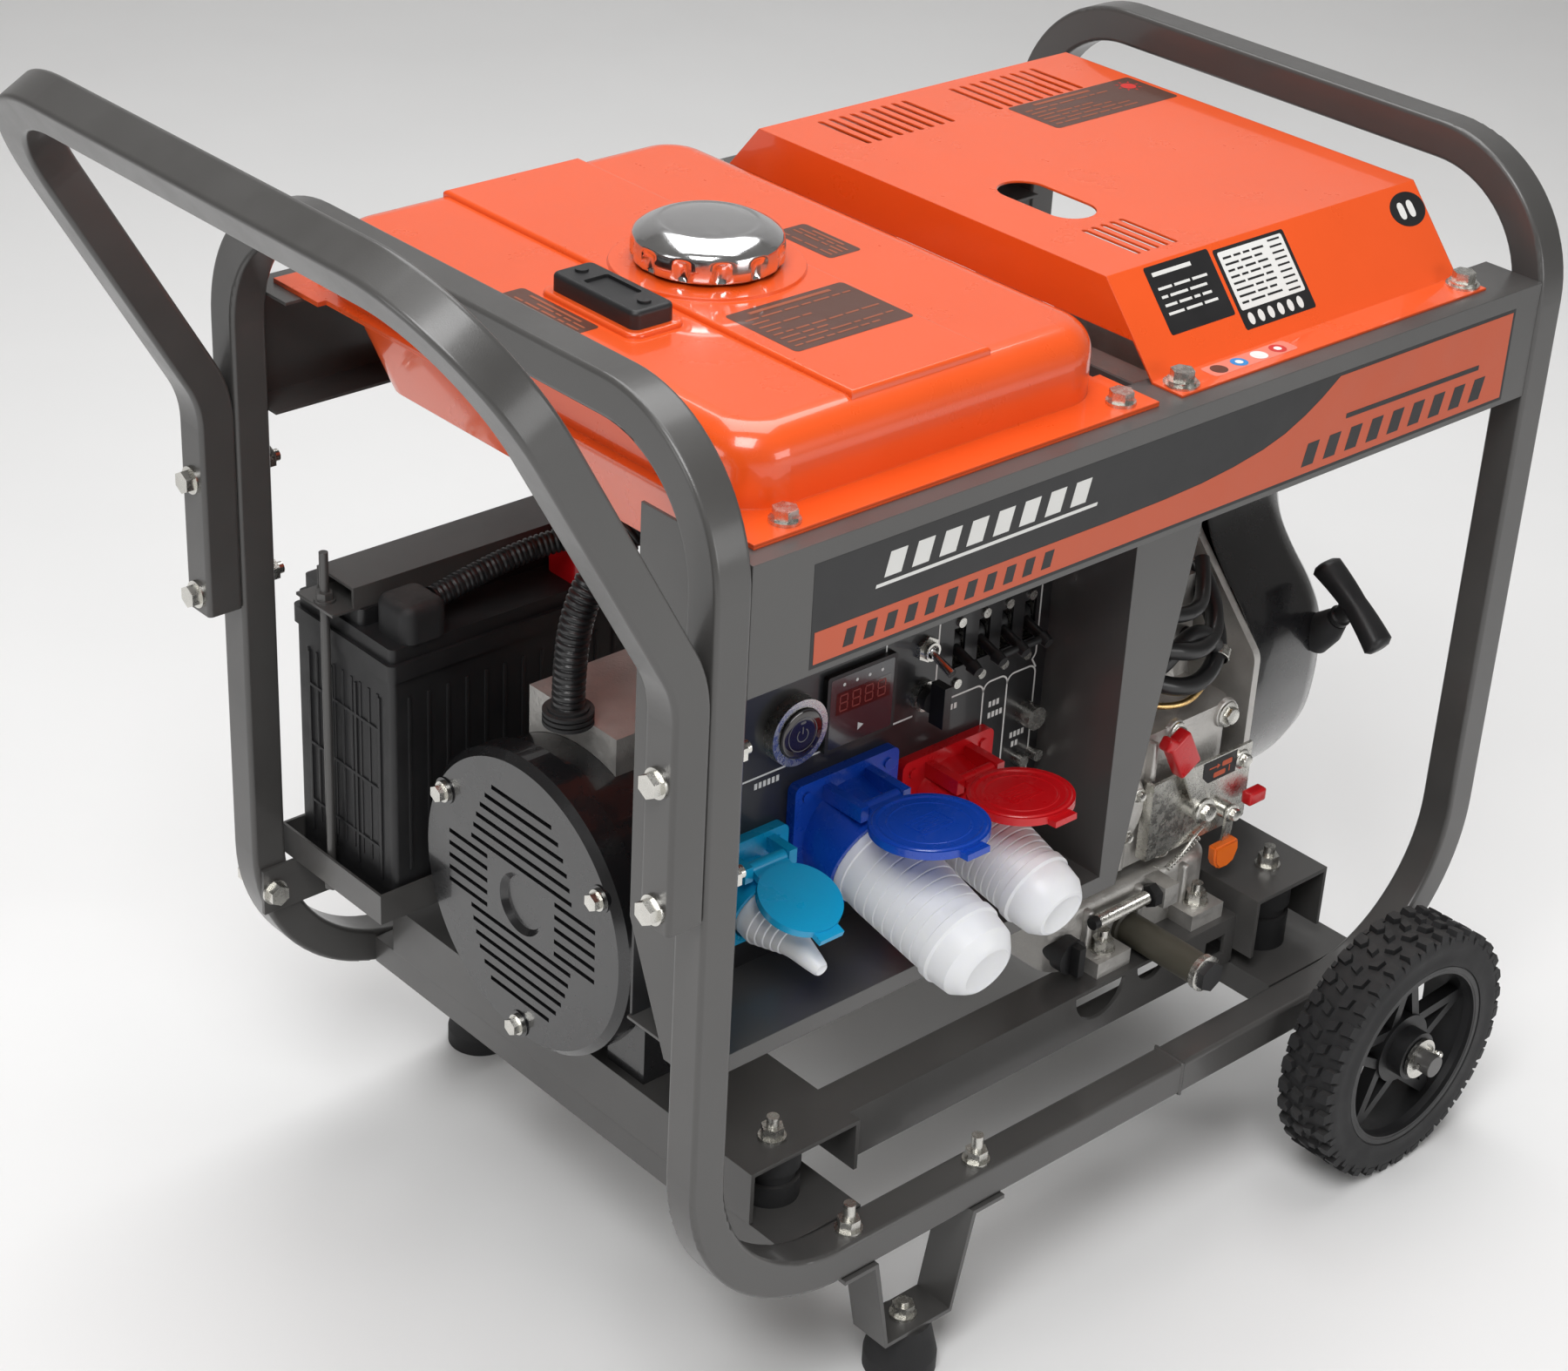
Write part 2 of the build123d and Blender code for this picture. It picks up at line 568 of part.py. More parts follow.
def cover_spacers():
    """Washers under the cover bolts and the tank bolts."""
    out = []
    for s in (-1, 1):
        for x in TOP_BOLTS_X[2:]:
            out.append(ring((x, s * LEDGE_Y, BAND_TOP + SHEET), (0, 0, 1), 11, 4.3, SHEET))
    return out


# ---- battery ----
def battery():
    x0, x1 = BATT_X0, BATT_X0 + BATT_L
    y0, y1 = BATT_Y0, BATT_Y0 + BATT_W
    z1 = BATT_Z0 + BATT_H
    b = rounded(x0 + 2, x1 - 2, y0 + 2, y1 - 2, BATT_Z0, z1 - 34, 4)
    b += rounded(x0, x1, y0, y1, z1 - 34, z1 - 22, 5)
    b += rounded(x0 + 3, x1 - 3, y0 + 3, y1 - 3, z1 - 22, z1 - 12, 4)
    b += rounded(x0 + 6, x1 - 6, y0 + 40, y1 - 6, z1 - 12, z1, 4)
    for k in range(4):
        y = y0 + 14 + 26 * k
        b += box(x0 + 0.8, x0 + 3, y, y + 2, BATT_Z0 + 20, z1 - 50)
    for k in range(3):
        z = BATT_Z0 + 42 + 44 * k
        b += box(x0 + 0.8, x0 + 3, y0 + 14, y0 + 94, z, z + 2)
    b += rod((x0 + 30, y0 + 20, z1 - 12), (0, 0, 1), 8, 9)
    b += rod((x1 - 30, y0 + 20, z1 - 12), (0, 0, 1), 8, 9)
    return b


CLAMP_Y = BATT_Y0 + 62.0
RODS_X = (BATT_X0 - 6.0, BATT_X0 + BATT_L + 6.0)


def battery_clamp():
    z1 = BATT_Z0 + BATT_H
    c = box(BATT_X0 - 14, BATT_X0 + BATT_L + 14, CLAMP_Y - 20, CLAMP_Y + 20, z1, z1 + 2)
    c += box(BATT_X0 + 2, BATT_X0 + BATT_L - 2, CLAMP_Y - 20, CLAMP_Y - 18, z1, z1 + 16)
    c += box(BATT_X0 + 2, BATT_X0 + BATT_L - 2, CLAMP_Y + 18, CLAMP_Y + 20, z1, z1 + 16)
    c += box(BATT_X0 + 2, BATT_X0 + BATT_L - 2, CLAMP_Y - 20, CLAMP_Y + 20, z1 + 14, z1 + 16)
    for x in RODS_X:
        c -= rod((x, CLAMP_Y, z1 - 2), (0, 0, 1), 3.2, 8)
    rods = []
    for x in RODS_X:
        r = rod((x, CLAMP_Y, BATT_Z0 - 6), (0, 0, 1), 3.0, BATT_H + 42)
        r += rod((x, CLAMP_Y, z1 + 2), (0, 0, 1), 7, 1.5)
        r += hexa((x, CLAMP_Y, z1 + 3.5), (0, 0, 1), 10, 5)
        r += hexa((x, CLAMP_Y, BATT_Z0 - 7), (0, 0, 1), 10, 5)
        rods.append(r)
    return group(c, *rods)


TRAY_X0 = BATT_X0 - 12.0
TRAY_X1 = BATT_X0 + BATT_L + 12.0
TRAY_Y0 = BATT_Y0 - 2.2
TRAY_Y1 = BATT_Y0 + BATT_W + 2.2


def battery_tray():
    t = 2.0
    z = BATT_Z0 - t
    b = box(TRAY_X0, TRAY_X1, TRAY_Y0, TRAY_Y1, z, BATT_Z0)
    b += box(TRAY_X0, TRAY_X1, TRAY_Y0, TRAY_Y0 + t, z, z + 22)
    b += box(TRAY_X0, TRAY_X1, TRAY_Y1 - t, TRAY_Y1, z, z + 22)
    b += box(TRAY_X0, TRAY_X0 + t, TRAY_Y0, TRAY_Y1, z, z + 22)
    b += box(TRAY_X1 - t, TRAY_X1, TRAY_Y0, TRAY_Y1, z, z + 22)
    for x in RODS_X:
        b -= rod((x, CLAMP_Y, z - 2), (0, 0, 1), 3.2, 8)
    yp = HALF_W - TUBE
    b += box(TUBE / 2 - 8, 60, yp - 3, yp, z - 34, z)
    b -= rod((TUBE / 2, yp - 6, z - 18), (0, 1, 0), 4.3, 12)
    b += box(196, 214, yp + 8, yp + 11, PLATE_Z, z)
    return b


def tray_bolt():
    yp = HALF_W - TUBE
    b = flange_bolt((TUBE / 2, yp - 3, BATT_Z0 - 20), (0, 1, 0), TUBE + 10)
    return b + hexa((TUBE / 2, HALF_W, BATT_Z0 - 20), (0, 1, 0), 13, 6)


def terminal_boots():
    z1 = BATT_Z0 + BATT_H
    out = []
    for x in (BATT_X0 + 30, BATT_X0 + BATT_L - 30):
        y = BATT_Y0 + 20
        b = rounded(x - 17, x + 17, y - 19, y + 17, z1 - 12, z1 + 13, 9, 7)
        b -= rod((x, y, z1 - 14), (0, 0, 1), 8.3, 11.5)
        out.append(b)
    return group(*out)


def loom(points, r):
    """Round conduit along straight runs joined by tangent arcs."""
    radii = []
    for i in range(1, len(points) - 1):
        a = Vector(*points[i]) - Vector(*points[i - 1])
        b = Vector(*points[i + 1]) - Vector(*points[i])
        turn = math.radians(a.get_angle(b))
        radii.append(0.45 * min(a.length, b.length) / math.tan(turn / 2))
    print("bend radii", [round(v, 1) for v in radii])
    path = FilletPolyline(*points, radius=radii)
    sec = Plane(origin=path @ 0, z_dir=path % 0) * Circle(r)
    return sweep(sec, path=path)


LOOM_R = 8.0


def battery_loom():
    z = BATT_Z0 + BATT_H + 5
    y = BATT_Y0 + 20
    pts = [(BATT_X0 + 48.5, y, z), (BATT_X0 + 85, y + 1, z + 7), (BATT_X0 + 130, y - 8, z + 18),
           (BATT_X0 + 176, y - 30, z + 24), (BATT_X0 + 218, y - 52, z + 18),
           (BATT_X0 + 256, y - 70, z - 8)]
    return loom(pts, LOOM_R)


ALT_LOOM_X = 92.0


def alternator_loom():
    z = CRANK_Z + ALT_R
    pts = [(ALT_LOOM_X, -2, z + 30), (ALT_LOOM_X, -2, z + 66), (ALT_LOOM_X + 8, -4, z + 104),
           (ALT_LOOM_X + 28, -10, z + 136), (ALT_LOOM_X + 62, -24, z + 158),
           (ALT_LOOM_X + 98, -60, z + 162), (ALT_LOOM_X + 108, -100, z + 162),
           (ALT_LOOM_X + 110, PANEL_Y + 2.2, z + 160)]
    return loom(pts, LOOM_R + 2.5)


# ---- alternator ----
def louvre(y, z, w):
    return box(ALT_X - 1, ALT_X + 4, y - w / 2, y + w / 2, z - 1.6, z + 1.6)


def alternator_cover():
    c = rod((ALT_X, 0, CRANK_Z), (1, 0, 0), ALT_R - 5, 5, ALT_R)
    c += rod((ALT_X + 5, 0, CRANK_Z), (1, 0, 0), ALT_R, 17)
    c -= rod((ALT_X - 1, 0, CRANK_Z), (1, 0, 0), 22, 5, 18)
    c -= rod((ALT_X + 5, 0, CRANK_Z), (1, 0, 0), ALT_R - 2, 18)
    for k in range(6):
        z = 26 + 9 * k
        w = 2 * math.sqrt((ALT_R - 16) ** 2 - z ** 2) * 0.62
        c -= louvre(0, CRANK_Z + z, w)
        c -= louvre(0, CRANK_Z - z, w)
    for k in range(5):
        for s in (-1, 1):
            c -= louvre(s * 54, CRANK_Z - 18 + 9 * k, 40)
    for a in ALT_BOLT_ANGLES:
        p = alt_bolt_at(a)
        c += rod((ALT_X - 1, p[0], p[1]), (1, 0, 0), 9, 6)
        c -= rod((ALT_X - 3, p[0], p[1]), (1, 0, 0), 3.4, 12)
    return c


ALT_BOLT_ANGLES = (30.0, 150.0, 270.0)
ALT_BOLT_R = 90.0


def alt_bolt_at(a):
    r = math.radians(a)
    return (ALT_BOLT_R * math.cos(r), CRANK_Z + ALT_BOLT_R * math.sin(r))


def alternator_bolts():
    out = []
    for a in ALT_BOLT_ANGLES:
        y, z = alt_bolt_at(a)
        b = rod((ALT_X - 3, y, z), (1, 0, 0), 7, 2)
        b += hexa((ALT_X - 8, y, z), (1, 0, 0), 10, 5)
        b += rod((ALT_X - 3, y, z), (1, 0, 0), 3.0, 25)
        out.append(b)
    return out


def alternator_body():
    """Stator barrel with feet on the cradle."""
    x0 = ALT_X + 22
    b = rod((x0, 0, CRANK_Z), (1, 0, 0), ALT_R - 4, 78)
    for s in (-1, 1):
        y0, y1 = sorted((s * 40, s * 76))
        foot = box(x0 + 18, x0 + 58, y0, y1, CRADLE_Z, CRANK_Z - 40)
        b += foot
    for a in ALT_BOLT_ANGLES:
        y, z = alt_bolt_at(a)
        b -= rod((x0 - 1, y, z), (1, 0, 0), 3.4, 14)
    return b


def alternator_bell():
    """Cast end bell with a saddle on top for the leads."""
    x0 = ALT_X + 22 + 78
    b = rod((x0, 0, CRANK_Z), (1, 0, 0), ALT_R - 4, 30, ALT_R + 6)
    b += rod((x0 + 30, 0, CRANK_Z), (1, 0, 0), ALT_R + 6, 12)
    sad = box(ALT_X + 46, x0 + 30, -34, 52, CRANK_Z + 60, CRANK_Z + 118)
    sad -= rod((ALT_X, 0, CRANK_Z), (1, 0, 0), ALT_R - 4 + 0.2, 102)
    return b + sad


def alternator_boot():
    """Ringed rubber grommet where the leads leave the end cover."""
    z = CRANK_Z + ALT_R
    b = rod((ALT_LOOM_X, -2, z + 18.5), (0, 0, 1), 13, 11.4)
    for k in range(3):
        b += rod((ALT_LOOM_X, -2, z + 18.5 + 3.6 * k), (0, 0, 1), 16, 2.2)
    return b


# ---- control box ----
def control_housing():
    t = 2.0
    w0, w1 = BOX_FRONT_Y, PANEL_Y
    top = BAND_TOP - BAND_SHEET - 0.5
    left = [(w0, SHELF_Z - 12), (w1 - 34, SHELF_Z - 12), (w1, SHELF_Z + 70), (w1, top), (w0, top)]
    wall = Plane.YZ * make_face(Polyline(*left, close=True))
    b = Pos(BOX_X0, 0, 0) * extrude(wall, t, dir=(1, 0, 0))
    right = [(w0, SHELF_Z - 12), (w1, SHELF_Z - 12), (w1, top), (w0, top)]
    wall = Plane.YZ * make_face(Polyline(*right, close=True))
    b += Pos(BOX_X1, 0, 0) * extrude(wall, t, dir=(1, 0, 0))
    ear = [(BOX_X1, SHELF_Z - 12), (BOX_X1 + 16, SHELF_Z - 12), (BOX_X1 + 60, BAND_TOP - 90),
           (BOX_X1 + 60, top), (BOX_X1, top)]
    face = Plane.XZ * make_face(Polyline(*ear, close=True))
    b += Pos(0, w0 + t, 0) * extrude(face, t, dir=(0, -1, 0))
    b += box(BOX_X0, BOX_X1 + t, w0, w1, SHELF_Z - t, SHELF_Z)
    b += box(BOX_X0, BOX_X1 + t, w0, w0 + t, SHELF_Z - 12, SHELF_Z)
    b += box(BOX_X0, BOX_X0 + 14, w0, w0 + t, BAND_TOP - BAND_H, top)
    return b


def panel_face():
    """Front panel with all its openings."""
    p = box(BOX_X0 + 2, BOX_X1, PANEL_Y - 2, PANEL_Y, SHELF_Z, PANEL_TOP)

    def hole(x, z, r):
        return rod((x, PANEL_Y - 4, z), (0, 1, 0), r, 8)
    p -= hole(START[0], START[1], 17)
    p -= hole(TOGGLE[0], TOGGLE[1], 6.2)
    p -= hole(KEY[0], KEY[1], 7)
    p -= hole(FUSE[0], FUSE[1], 6)
    x, z = METER
    p -= box(x - 26, x + 26, PANEL_Y - 4, PANEL_Y + 2, z - 23, z + 23)
    for x in BREAKERS_X:
        p -= box(x - 5, x + 5, PANEL_Y - 4, PANEL_Y + 2, BREAKER_Z - 14, BREAKER_Z + 14)
    return p


START = (147.0, 452.0)
METER = (199.0, 452.0)
TOGGLE = (254.0, 470.0)
KEY = (254.0, 438.0)
FUSE = (347.0, 394.0)
BREAKERS_X = (283.0, 304.0, 324.0, 344.0)
BREAKER_Z = 461.0
SOCK_BLUE = (189.0, 371.0)
SOCK_RED = (274.5, 359.0)
SOCK_SMALL = (112.0, 356.0)


def meter():
    x, z = METER
    y = PANEL_Y - 2
    b = box(x - 28, x + 28, y - 4, y, z - 26, z + 26)
    b = fillet(b.edges().filter_by(Axis.Y), 2)
    b += box(x - 25.5, x + 25.5, y, y + 30, z - 22.5, z + 22.5)
    return b - box(x - 20, x + 20, y - 5, y - 3, z + 0, z + 14)


def panel_fittings():
    """Bezel, bushes, breaker bodies, fuse holder, terminals and screws."""
    y = PANEL_Y - 2
    out = [ring((START[0], y, START[1]), (0, -1, 0), 21.5, 16.4, 8)
           + ring((START[0], y, START[1]), (0, 1, 0), 16.9, 16.4, 26)
           + rod((START[0], y + 22, START[1]), (0, 1, 0), 16.9, 4)]
    out.append(ring((TOGGLE[0], y - 7, TOGGLE[1]), (0, 1, 0), 6.0, 4.4, 27)
               + (hexa((TOGGLE[0], y - 3, TOGGLE[1]), (0, 1, 0), 15, 3)
                  - rod((TOGGLE[0], y - 4, TOGGLE[1]), (0, 1, 0), 5.5, 6))
               + rod((TOGGLE[0], y + 14, TOGGLE[1]), (0, 1, 0), 6.0, 6))
    out.append(ring((KEY[0], y - 4, KEY[1]), (0, 1, 0), 10, 5.3, 4)
               + ring((KEY[0], y, KEY[1]), (0, 1, 0), 6.8, 5.3, 24)
               + rod((KEY[0], y + 20, KEY[1]), (0, 1, 0), 6.8, 4))
    out.append(rod((FUSE[0], y + 20, FUSE[1]), (0, -1, 0), 5.8, 20)
               + rod((FUSE[0], y, FUSE[1]), (0, -1, 0), 8, 12))
    for x in BREAKERS_X:
        b = box(x - 9, x + 9, PANEL_Y, PANEL_Y + 40, BREAKER_Z - 22, BREAKER_Z + 22)
        b -= box(x - 4.9, x + 4.9, PANEL_Y - 1, PANEL_Y + 16, BREAKER_Z - 13.9, BREAKER_Z + 13.9)
        out.append(b)
        for z in (BREAKER_Z + 17.5, BREAKER_Z - 25):
            out.append(rod((x, y, z), (0, -1, 0), 3.2, 1.8))
    for x in (FUSE[0] - 4, FUSE[0] + 9):
        out.append(rod((x, y, FUSE[1] - 32), (0, -1, 0), 4, 8))
    return group(*out)


def start_button():
    return (rod((START[0], PANEL_Y - 2 - 9.5, START[1]), (0, 1, 0), 16, 14)
            + rod((START[0], PANEL_Y + 2.5, START[1]), (0, 1, 0), 6, 10))


def toggle_lever():
    y = PANEL_Y - 9
    b = Pos(TOGGLE[0], y + 4, TOGGLE[1]) * Sphere(3.6)
    b += rod((TOGGLE[0] - 4.1, y + 4, TOGGLE[1]), (1, 0, 0), 1.4, 8.2)
    b += rod((TOGGLE[0], y + 4, TOGGLE[1]), (0.0, -0.94, -0.34), 2.2, 22, 3.0)
    return b


def key_knob():
    y = PANEL_Y - 2
    b = rod((KEY[0], y + 16, KEY[1]), (0, -1, 0), 5.0, 20.3)
    b += rod((KEY[0], y - 4.3, KEY[1]), (0, -1, 0), 8, 6)
    b += box(KEY[0] - 3, KEY[0] + 3, y - 22, y - 10, KEY[1] - 14, KEY[1] + 14)
    return b


def breaker_lever(x):
    """Lever on a trunnion inside its body."""
    b = rod((x - 4.4, PANEL_Y + 8, BREAKER_Z), (1, 0, 0), 7, 8.8)
    arm = rod((x, PANEL_Y + 8, BREAKER_Z), (0, -0.9, -0.3), 3.4, 27)
    tip = rod((x, PANEL_Y - 13.5, BREAKER_Z - 7.2), (0, -0.9, -0.3), 4.6, 7, 3.6)
    return b + arm + tip


def breaker_triple():
    b = breaker_lever(BREAKERS_X[1]) + breaker_lever(BREAKERS_X[2])
    b += breaker_lever(BREAKERS_X[3])
    return b + rod((BREAKERS_X[1], PANEL_Y - 15, BREAKER_Z - 7.7), (1, 0, 0), 2.4,
                   BREAKERS_X[3] - BREAKERS_X[1])


TILT = math.radians(PLUG_TILT)
OUT = (0, -math.cos(TILT), -math.sin(TILT))
UP = (0, -math.sin(TILT), math.cos(TILT))


def along(c, s, u=0.0):
    """Point s out along a socket axis and u above it; c is (x, z) on the panel."""
    y = PANEL_Y - 2 + OUT[1] * s + UP[1] * u
    return (c[0], y, c[1] + OUT[2] * s + UP[2] * u)


def socket_base(c, w, h, r, length, hinge):
    """Angled panel socket: flange, sloped neck, round shell and hinge lugs."""
    y = PANEL_Y - 2
    b = box(c[0] - w / 2, c[0] + w / 2, y - 7, y, c[1] - h / 2, c[1] + h / 2)
    b = fillet(b.edges().filter_by(Axis.Y), 5)
    neck = rod(along(c, -12), OUT, r + 3, length)
    keep = box(c[0] - 90, c[0] + 90, y - 200, y, c[1] - 200, c[1] + 200)
    b += neck & keep
    b -= rod(along(c, 8), OUT, r, length + 20)
    hy = along(c, hinge[0], hinge[1])
    for s in (-1, 1):
        x0, x1 = sorted((c[0] + s * 14, c[0] + s * 20))
        lug = box(x0, x1, hy[1] - 5, y - 6.5, hy[2] - 5, hy[2] + 5)
        b += lug
    b -= rod(along(c, 8), OUT, r, length + 20)
    b -= rod((c[0] - 30, hy[1], hy[2]), (1, 0, 0), 2.2, 60)
    for sx in (-1, 1):
        for sz in (-1, 1):
            p = (c[0] + sx * (w / 2 - 9), y - 7, c[1] + sz * (h / 2 - 9))
            b += rod(p, (0, -1, 0), 3.4, 1.4)
    return b


def flap(c, hinge, r, open_deg):
    """Round socket lid on its hinge pin, shown resting on the plug."""
    hy = along(c, hinge[0], hinge[1])
    a = math.radians(open_deg)
    d = (0, -math.cos(a), math.sin(a))
    n = (0, math.sin(a), math.cos(a))
    pin = rod((c[0] - 13.6, hy[1], hy[2]), (1, 0, 0), 4.2, 27.2)
    axle = rod((c[0] - 20, hy[1], hy[2]), (1, 0, 0), 2.1, 40)
    o = Vector(*hy)
    cen = o + Vector(*d) * (r + 6)
    disc = rod(tuple(cen - Vector(*n) * 1.5), n, r, 5)
    disc -= rod(tuple(cen - Vector(*n) * 2.5), n, r - 3, 4)
    pl = Plane(origin=tuple(o + Vector(*d) * 9), x_dir=(1, 0, 0), z_dir=n)
    arm = pl.location * Box(26, 18, 4.5)
    tab = Plane(origin=tuple(o + Vector(*d) * (2 * r + 7)), x_dir=(1, 0, 0), z_dir=n).location
    return pin + axle + disc + arm + tab * Box(18, 8, 4)


def plug(c, r, s0, s1, seat):
    """White ribbed plug body with a stepped nose, inside the socket shell."""
    b = rod(along(c, 9), OUT, seat, s0 - 9)
    n = 5
    step = (s1 - s0 - 26) / n
    for k in range(n):
        b += rod(along(c, s0 + k * step), OUT, r - 0.5 * k, step)
    b += rod(along(c, s0 + n * step), OUT, r - 1, 12)
    b += rod(along(c, s0 + n * step + 12), OUT, r - 1, 14, r * 0.62)
    return b - rod(along(c, s1 - 6), OUT, r * 0.42, 10)


HINGE_BLUE = (26.0, 40.0)
HINGE_RED = (22.0, 36.0)
HINGE_SMALL = (14.0, 32.0)


def small_plug():
    c = SOCK_SMALL
    b = rod(along(c, 9), OUT, 20, 20)
    b += rod(along(c, 29), OUT, 20, 26, 9)
    return b + rod(along(c, 55), OUT, 9, 22, 5)


# ---- engine ----
SUMP_Y = 150.0
SUMP_X0 = 388.0
SUMP_X1 = 545.0
BLOCK_Y = 95.0
BLOCK_TOP = CRANK_Z + 118.0
BOSS_Y = -140.0
DIP = (399.2, 194.5)
CASE_END = 578.0


def crankcase():
    b = rounded(SUMP_X0, SUMP_X1, -SUMP_Y, SUMP_Y, CRADLE_Z, CRADLE_Z + 46, 14, 8)
    for s in (-1, 1):
        y0, y1 = sorted((s * 120, s * 172))
        for x in FOOT_BOLTS_X:
            b += box(x - 16, x + 16, y0, y1, CRADLE_Z, CRADLE_Z + 12)
            b -= rod((x, s * FOOT_BOLT_Y, CRADLE_Z - 2), (0, 0, 1), 4.3, 20)
    x0 = ALT_X + 22 + 78 + 42
    b += rod((x0, 0, CRANK_Z), (1, 0, 0), 88, 395 - x0, 108)
    b += rod((395, 0, CRANK_Z), (1, 0, 0), 108, SUMP_X1 - 395)
    b += rod((SUMP_X1, 0, CRANK_Z), (1, 0, 0), 90, CASE_END - SUMP_X1)
    b += rounded(400, 574, -BLOCK_Y, BLOCK_Y, CRADLE_Z + 40, BLOCK_TOP, 18)
    b += rounded(430, 562, BOSS_Y, -80, CRANK_Z - 60, CRANK_Z + 40, 14)
    b += box(478, 492, -168, -SUMP_Y + 2, CRADLE_Z + 28, CRADLE_Z + 44)
    b -= rod((485, -159, CRADLE_Z + 36), (-1, 0, 0), 4.0, 10)
    return b - rod((DIP[0], -SUMP_Y - 2, DIP[1]), (0, 1, 0), 10.1, 42)


def cylinder_head():
    z0 = BLOCK_TOP
    b = box(432, 560, -62, 62, z0, z0 + 92)
    for k in range(9):
        z = z0 + 6 + 9.4 * k
        b += rounded(420, 572, -76, 76, z, z + 3, 12)
    b += rounded(440, 556, -50, 50, z0 + 92, z0 + 130, 10, 6)
    return b + rod((516, -62, z0 + 60), (0, -1, 0), 9, 34)


SHROUD_X0 = 584.0
SHROUD_X1 = 676.0
SHROUD_R = 132.0
DUCT_Y = 66.0
DOME_H = 16.0


def shroud_profile(grow):
    """Fan housing outline: round below, narrow duct above."""
    r, d, g = SHROUD_R, DUCT_Y, grow
    half = [(d + g, CRANK_Z + 256 + g), (d + g, CRANK_Z + 138), (r + g, CRANK_Z + 66),
            (r + g, CRANK_Z - 30), (r - 55 + g, CRANK_Z - 83 - g)]
    pts = half + [(-y, z) for y, z in half[::-1]]
    return Plane.YZ * make_face(Polyline(*pts, close=True))


def shroud_block(x0, x1, grow, r):
    b = Pos(x0, 0, 0) * extrude(shroud_profile(grow), x1 - x0, dir=(1, 0, 0))
    return fillet(b.edges().filter_by(Axis.X), r)


def flywheel_shroud():
    """Sheet fan housing with the recoil dome on its outer face."""
    b = shroud_block(SHROUD_X0, SHROUD_X1, 6, 14)
    b -= shroud_block(SHROUD_X0 - 1, SHROUD_X1 - 2, 4, 12)
    b += rod((SHROUD_X1, 0, CRANK_Z + 10), (1, 0, 0), 84, DOME_H, 72)
    b -= rod((SHROUD_X1 - 3, 0, CRANK_Z + 10), (1, 0, 0), 81, DOME_H, 69)
    for k in range(8):
        for r in (38, 56):
            a = math.radians(45 * k + 11)
            p = (SHROUD_X1 + DOME_H - 8, r * math.cos(a), CRANK_Z + 10 + r * math.sin(a))
            b -= rod(p, (1, 0, 0), 6, 12)
    b += rod(ROPE_AT, PULL, 13, 26)
    return b - rod(rope_point(-60), PULL, 3.6, 120)


ROPE_AT = (660.0, -127.0, 340.0)
PULL = (0.0, -0.6, 0.8)
ROPE_L = 140.0
GRIP_AT = 46.0


def rope_point(s):
    return tuple(a + b * s for a, b in zip(ROPE_AT, PULL))


def shroud_flange():
    """Cast back plate whose bright rim shows round the fan housing."""
    b = shroud_block(CASE_END, SHROUD_X0, 8, 14)
    return b - rod((CASE_END - 2, 0, CRANK_Z), (1, 0, 0), 60, 10)


def recoil_handle():
    """T grip with its rope; the rope lies inside the housing at rest."""
    b = rod(rope_point(26.4), PULL, 8, 16)
    bar = (0.0, -0.8, -0.6)
    start = tuple(a - 36 * c for a, c in zip(rope_point(GRIP_AT), bar))
    b += rod(start, bar, 12, 72)
    return b + rod(rope_point(28), tuple(-c for c in PULL), 3.0, 28 + ROPE_L)


PIVOT = (518.0, 266.0)
STOP_PIVOT = (548.0, 253.0)
LEVER_Y = -152.0


def throttle_bracket():
    y = LEVER_Y
    x0, x1, z0, z1 = 472, 572, 238, 298
    b = box(x0, x1, y, y + 2, z0, z1)
    b += box(x0, x0 + 2, y, y + 9, z0, z1)
    b += box(x0, x1, y, y + 9, z0, z0 + 2)
    b += rod((PIVOT[0], BOSS_Y, PIVOT[1]), (0, -1, 0), 9, 18)
    return b + rod((STOP_PIVOT[0], BOSS_Y, STOP_PIVOT[1]), (0, -1, 0), 6, 18)


def throttle_lever():
    x, z = PIVOT
    y = BOSS_Y - 18.3
    lean = Rot(0, -29, 0)
    b = rod((x, y, z), (0, -1, 0), 9, 2.2)
    b += Pos(x, y - 1.1, z) * lean * Pos(0, 0, 30) * Box(9, 2.2, 48)
    return b + Pos(x, y - 1.1, z) * lean * Pos(0, -1, 66) * Box(20, 10, 30)


def stop_lever():
    x, z = STOP_PIVOT
    y = BOSS_Y - 18.3
    b = rod((x, y, z), (0, -1, 0), 6, 2.2)
    b += Pos(x - 3, y - 1.1, z - 12) * Box(7, 2.2, 22)
    return b + Pos(x - 5, y - 3, z - 31) * Box(24, 9, 20)


EXHAUST_X = 580.0
EXHAUST_Z = 470.0
EXHAUST_R = 12.0


def muffler():
    b = rounded(480, 620, 116, 200, 420, 520, 30)
    b += box(506, 536, 76, 117, 440, 470)
    b += rod((EXHAUST_X, 196, EXHAUST_Z), (0, 1, 0), EXHAUST_R, 24)
    return b - rod((EXHAUST_X, 190, EXHAUST_Z), (0, 1, 0), EXHAUST_R - 2, 40)


def air_cleaner():
    b = rod((410, 158, 430), (0, 0, 1), 46, 110)
    b += rod((410, 158, 540), (0, 0, 1), 50, 14)
    return b + box(434, 462, 76, 130, 452, 484)


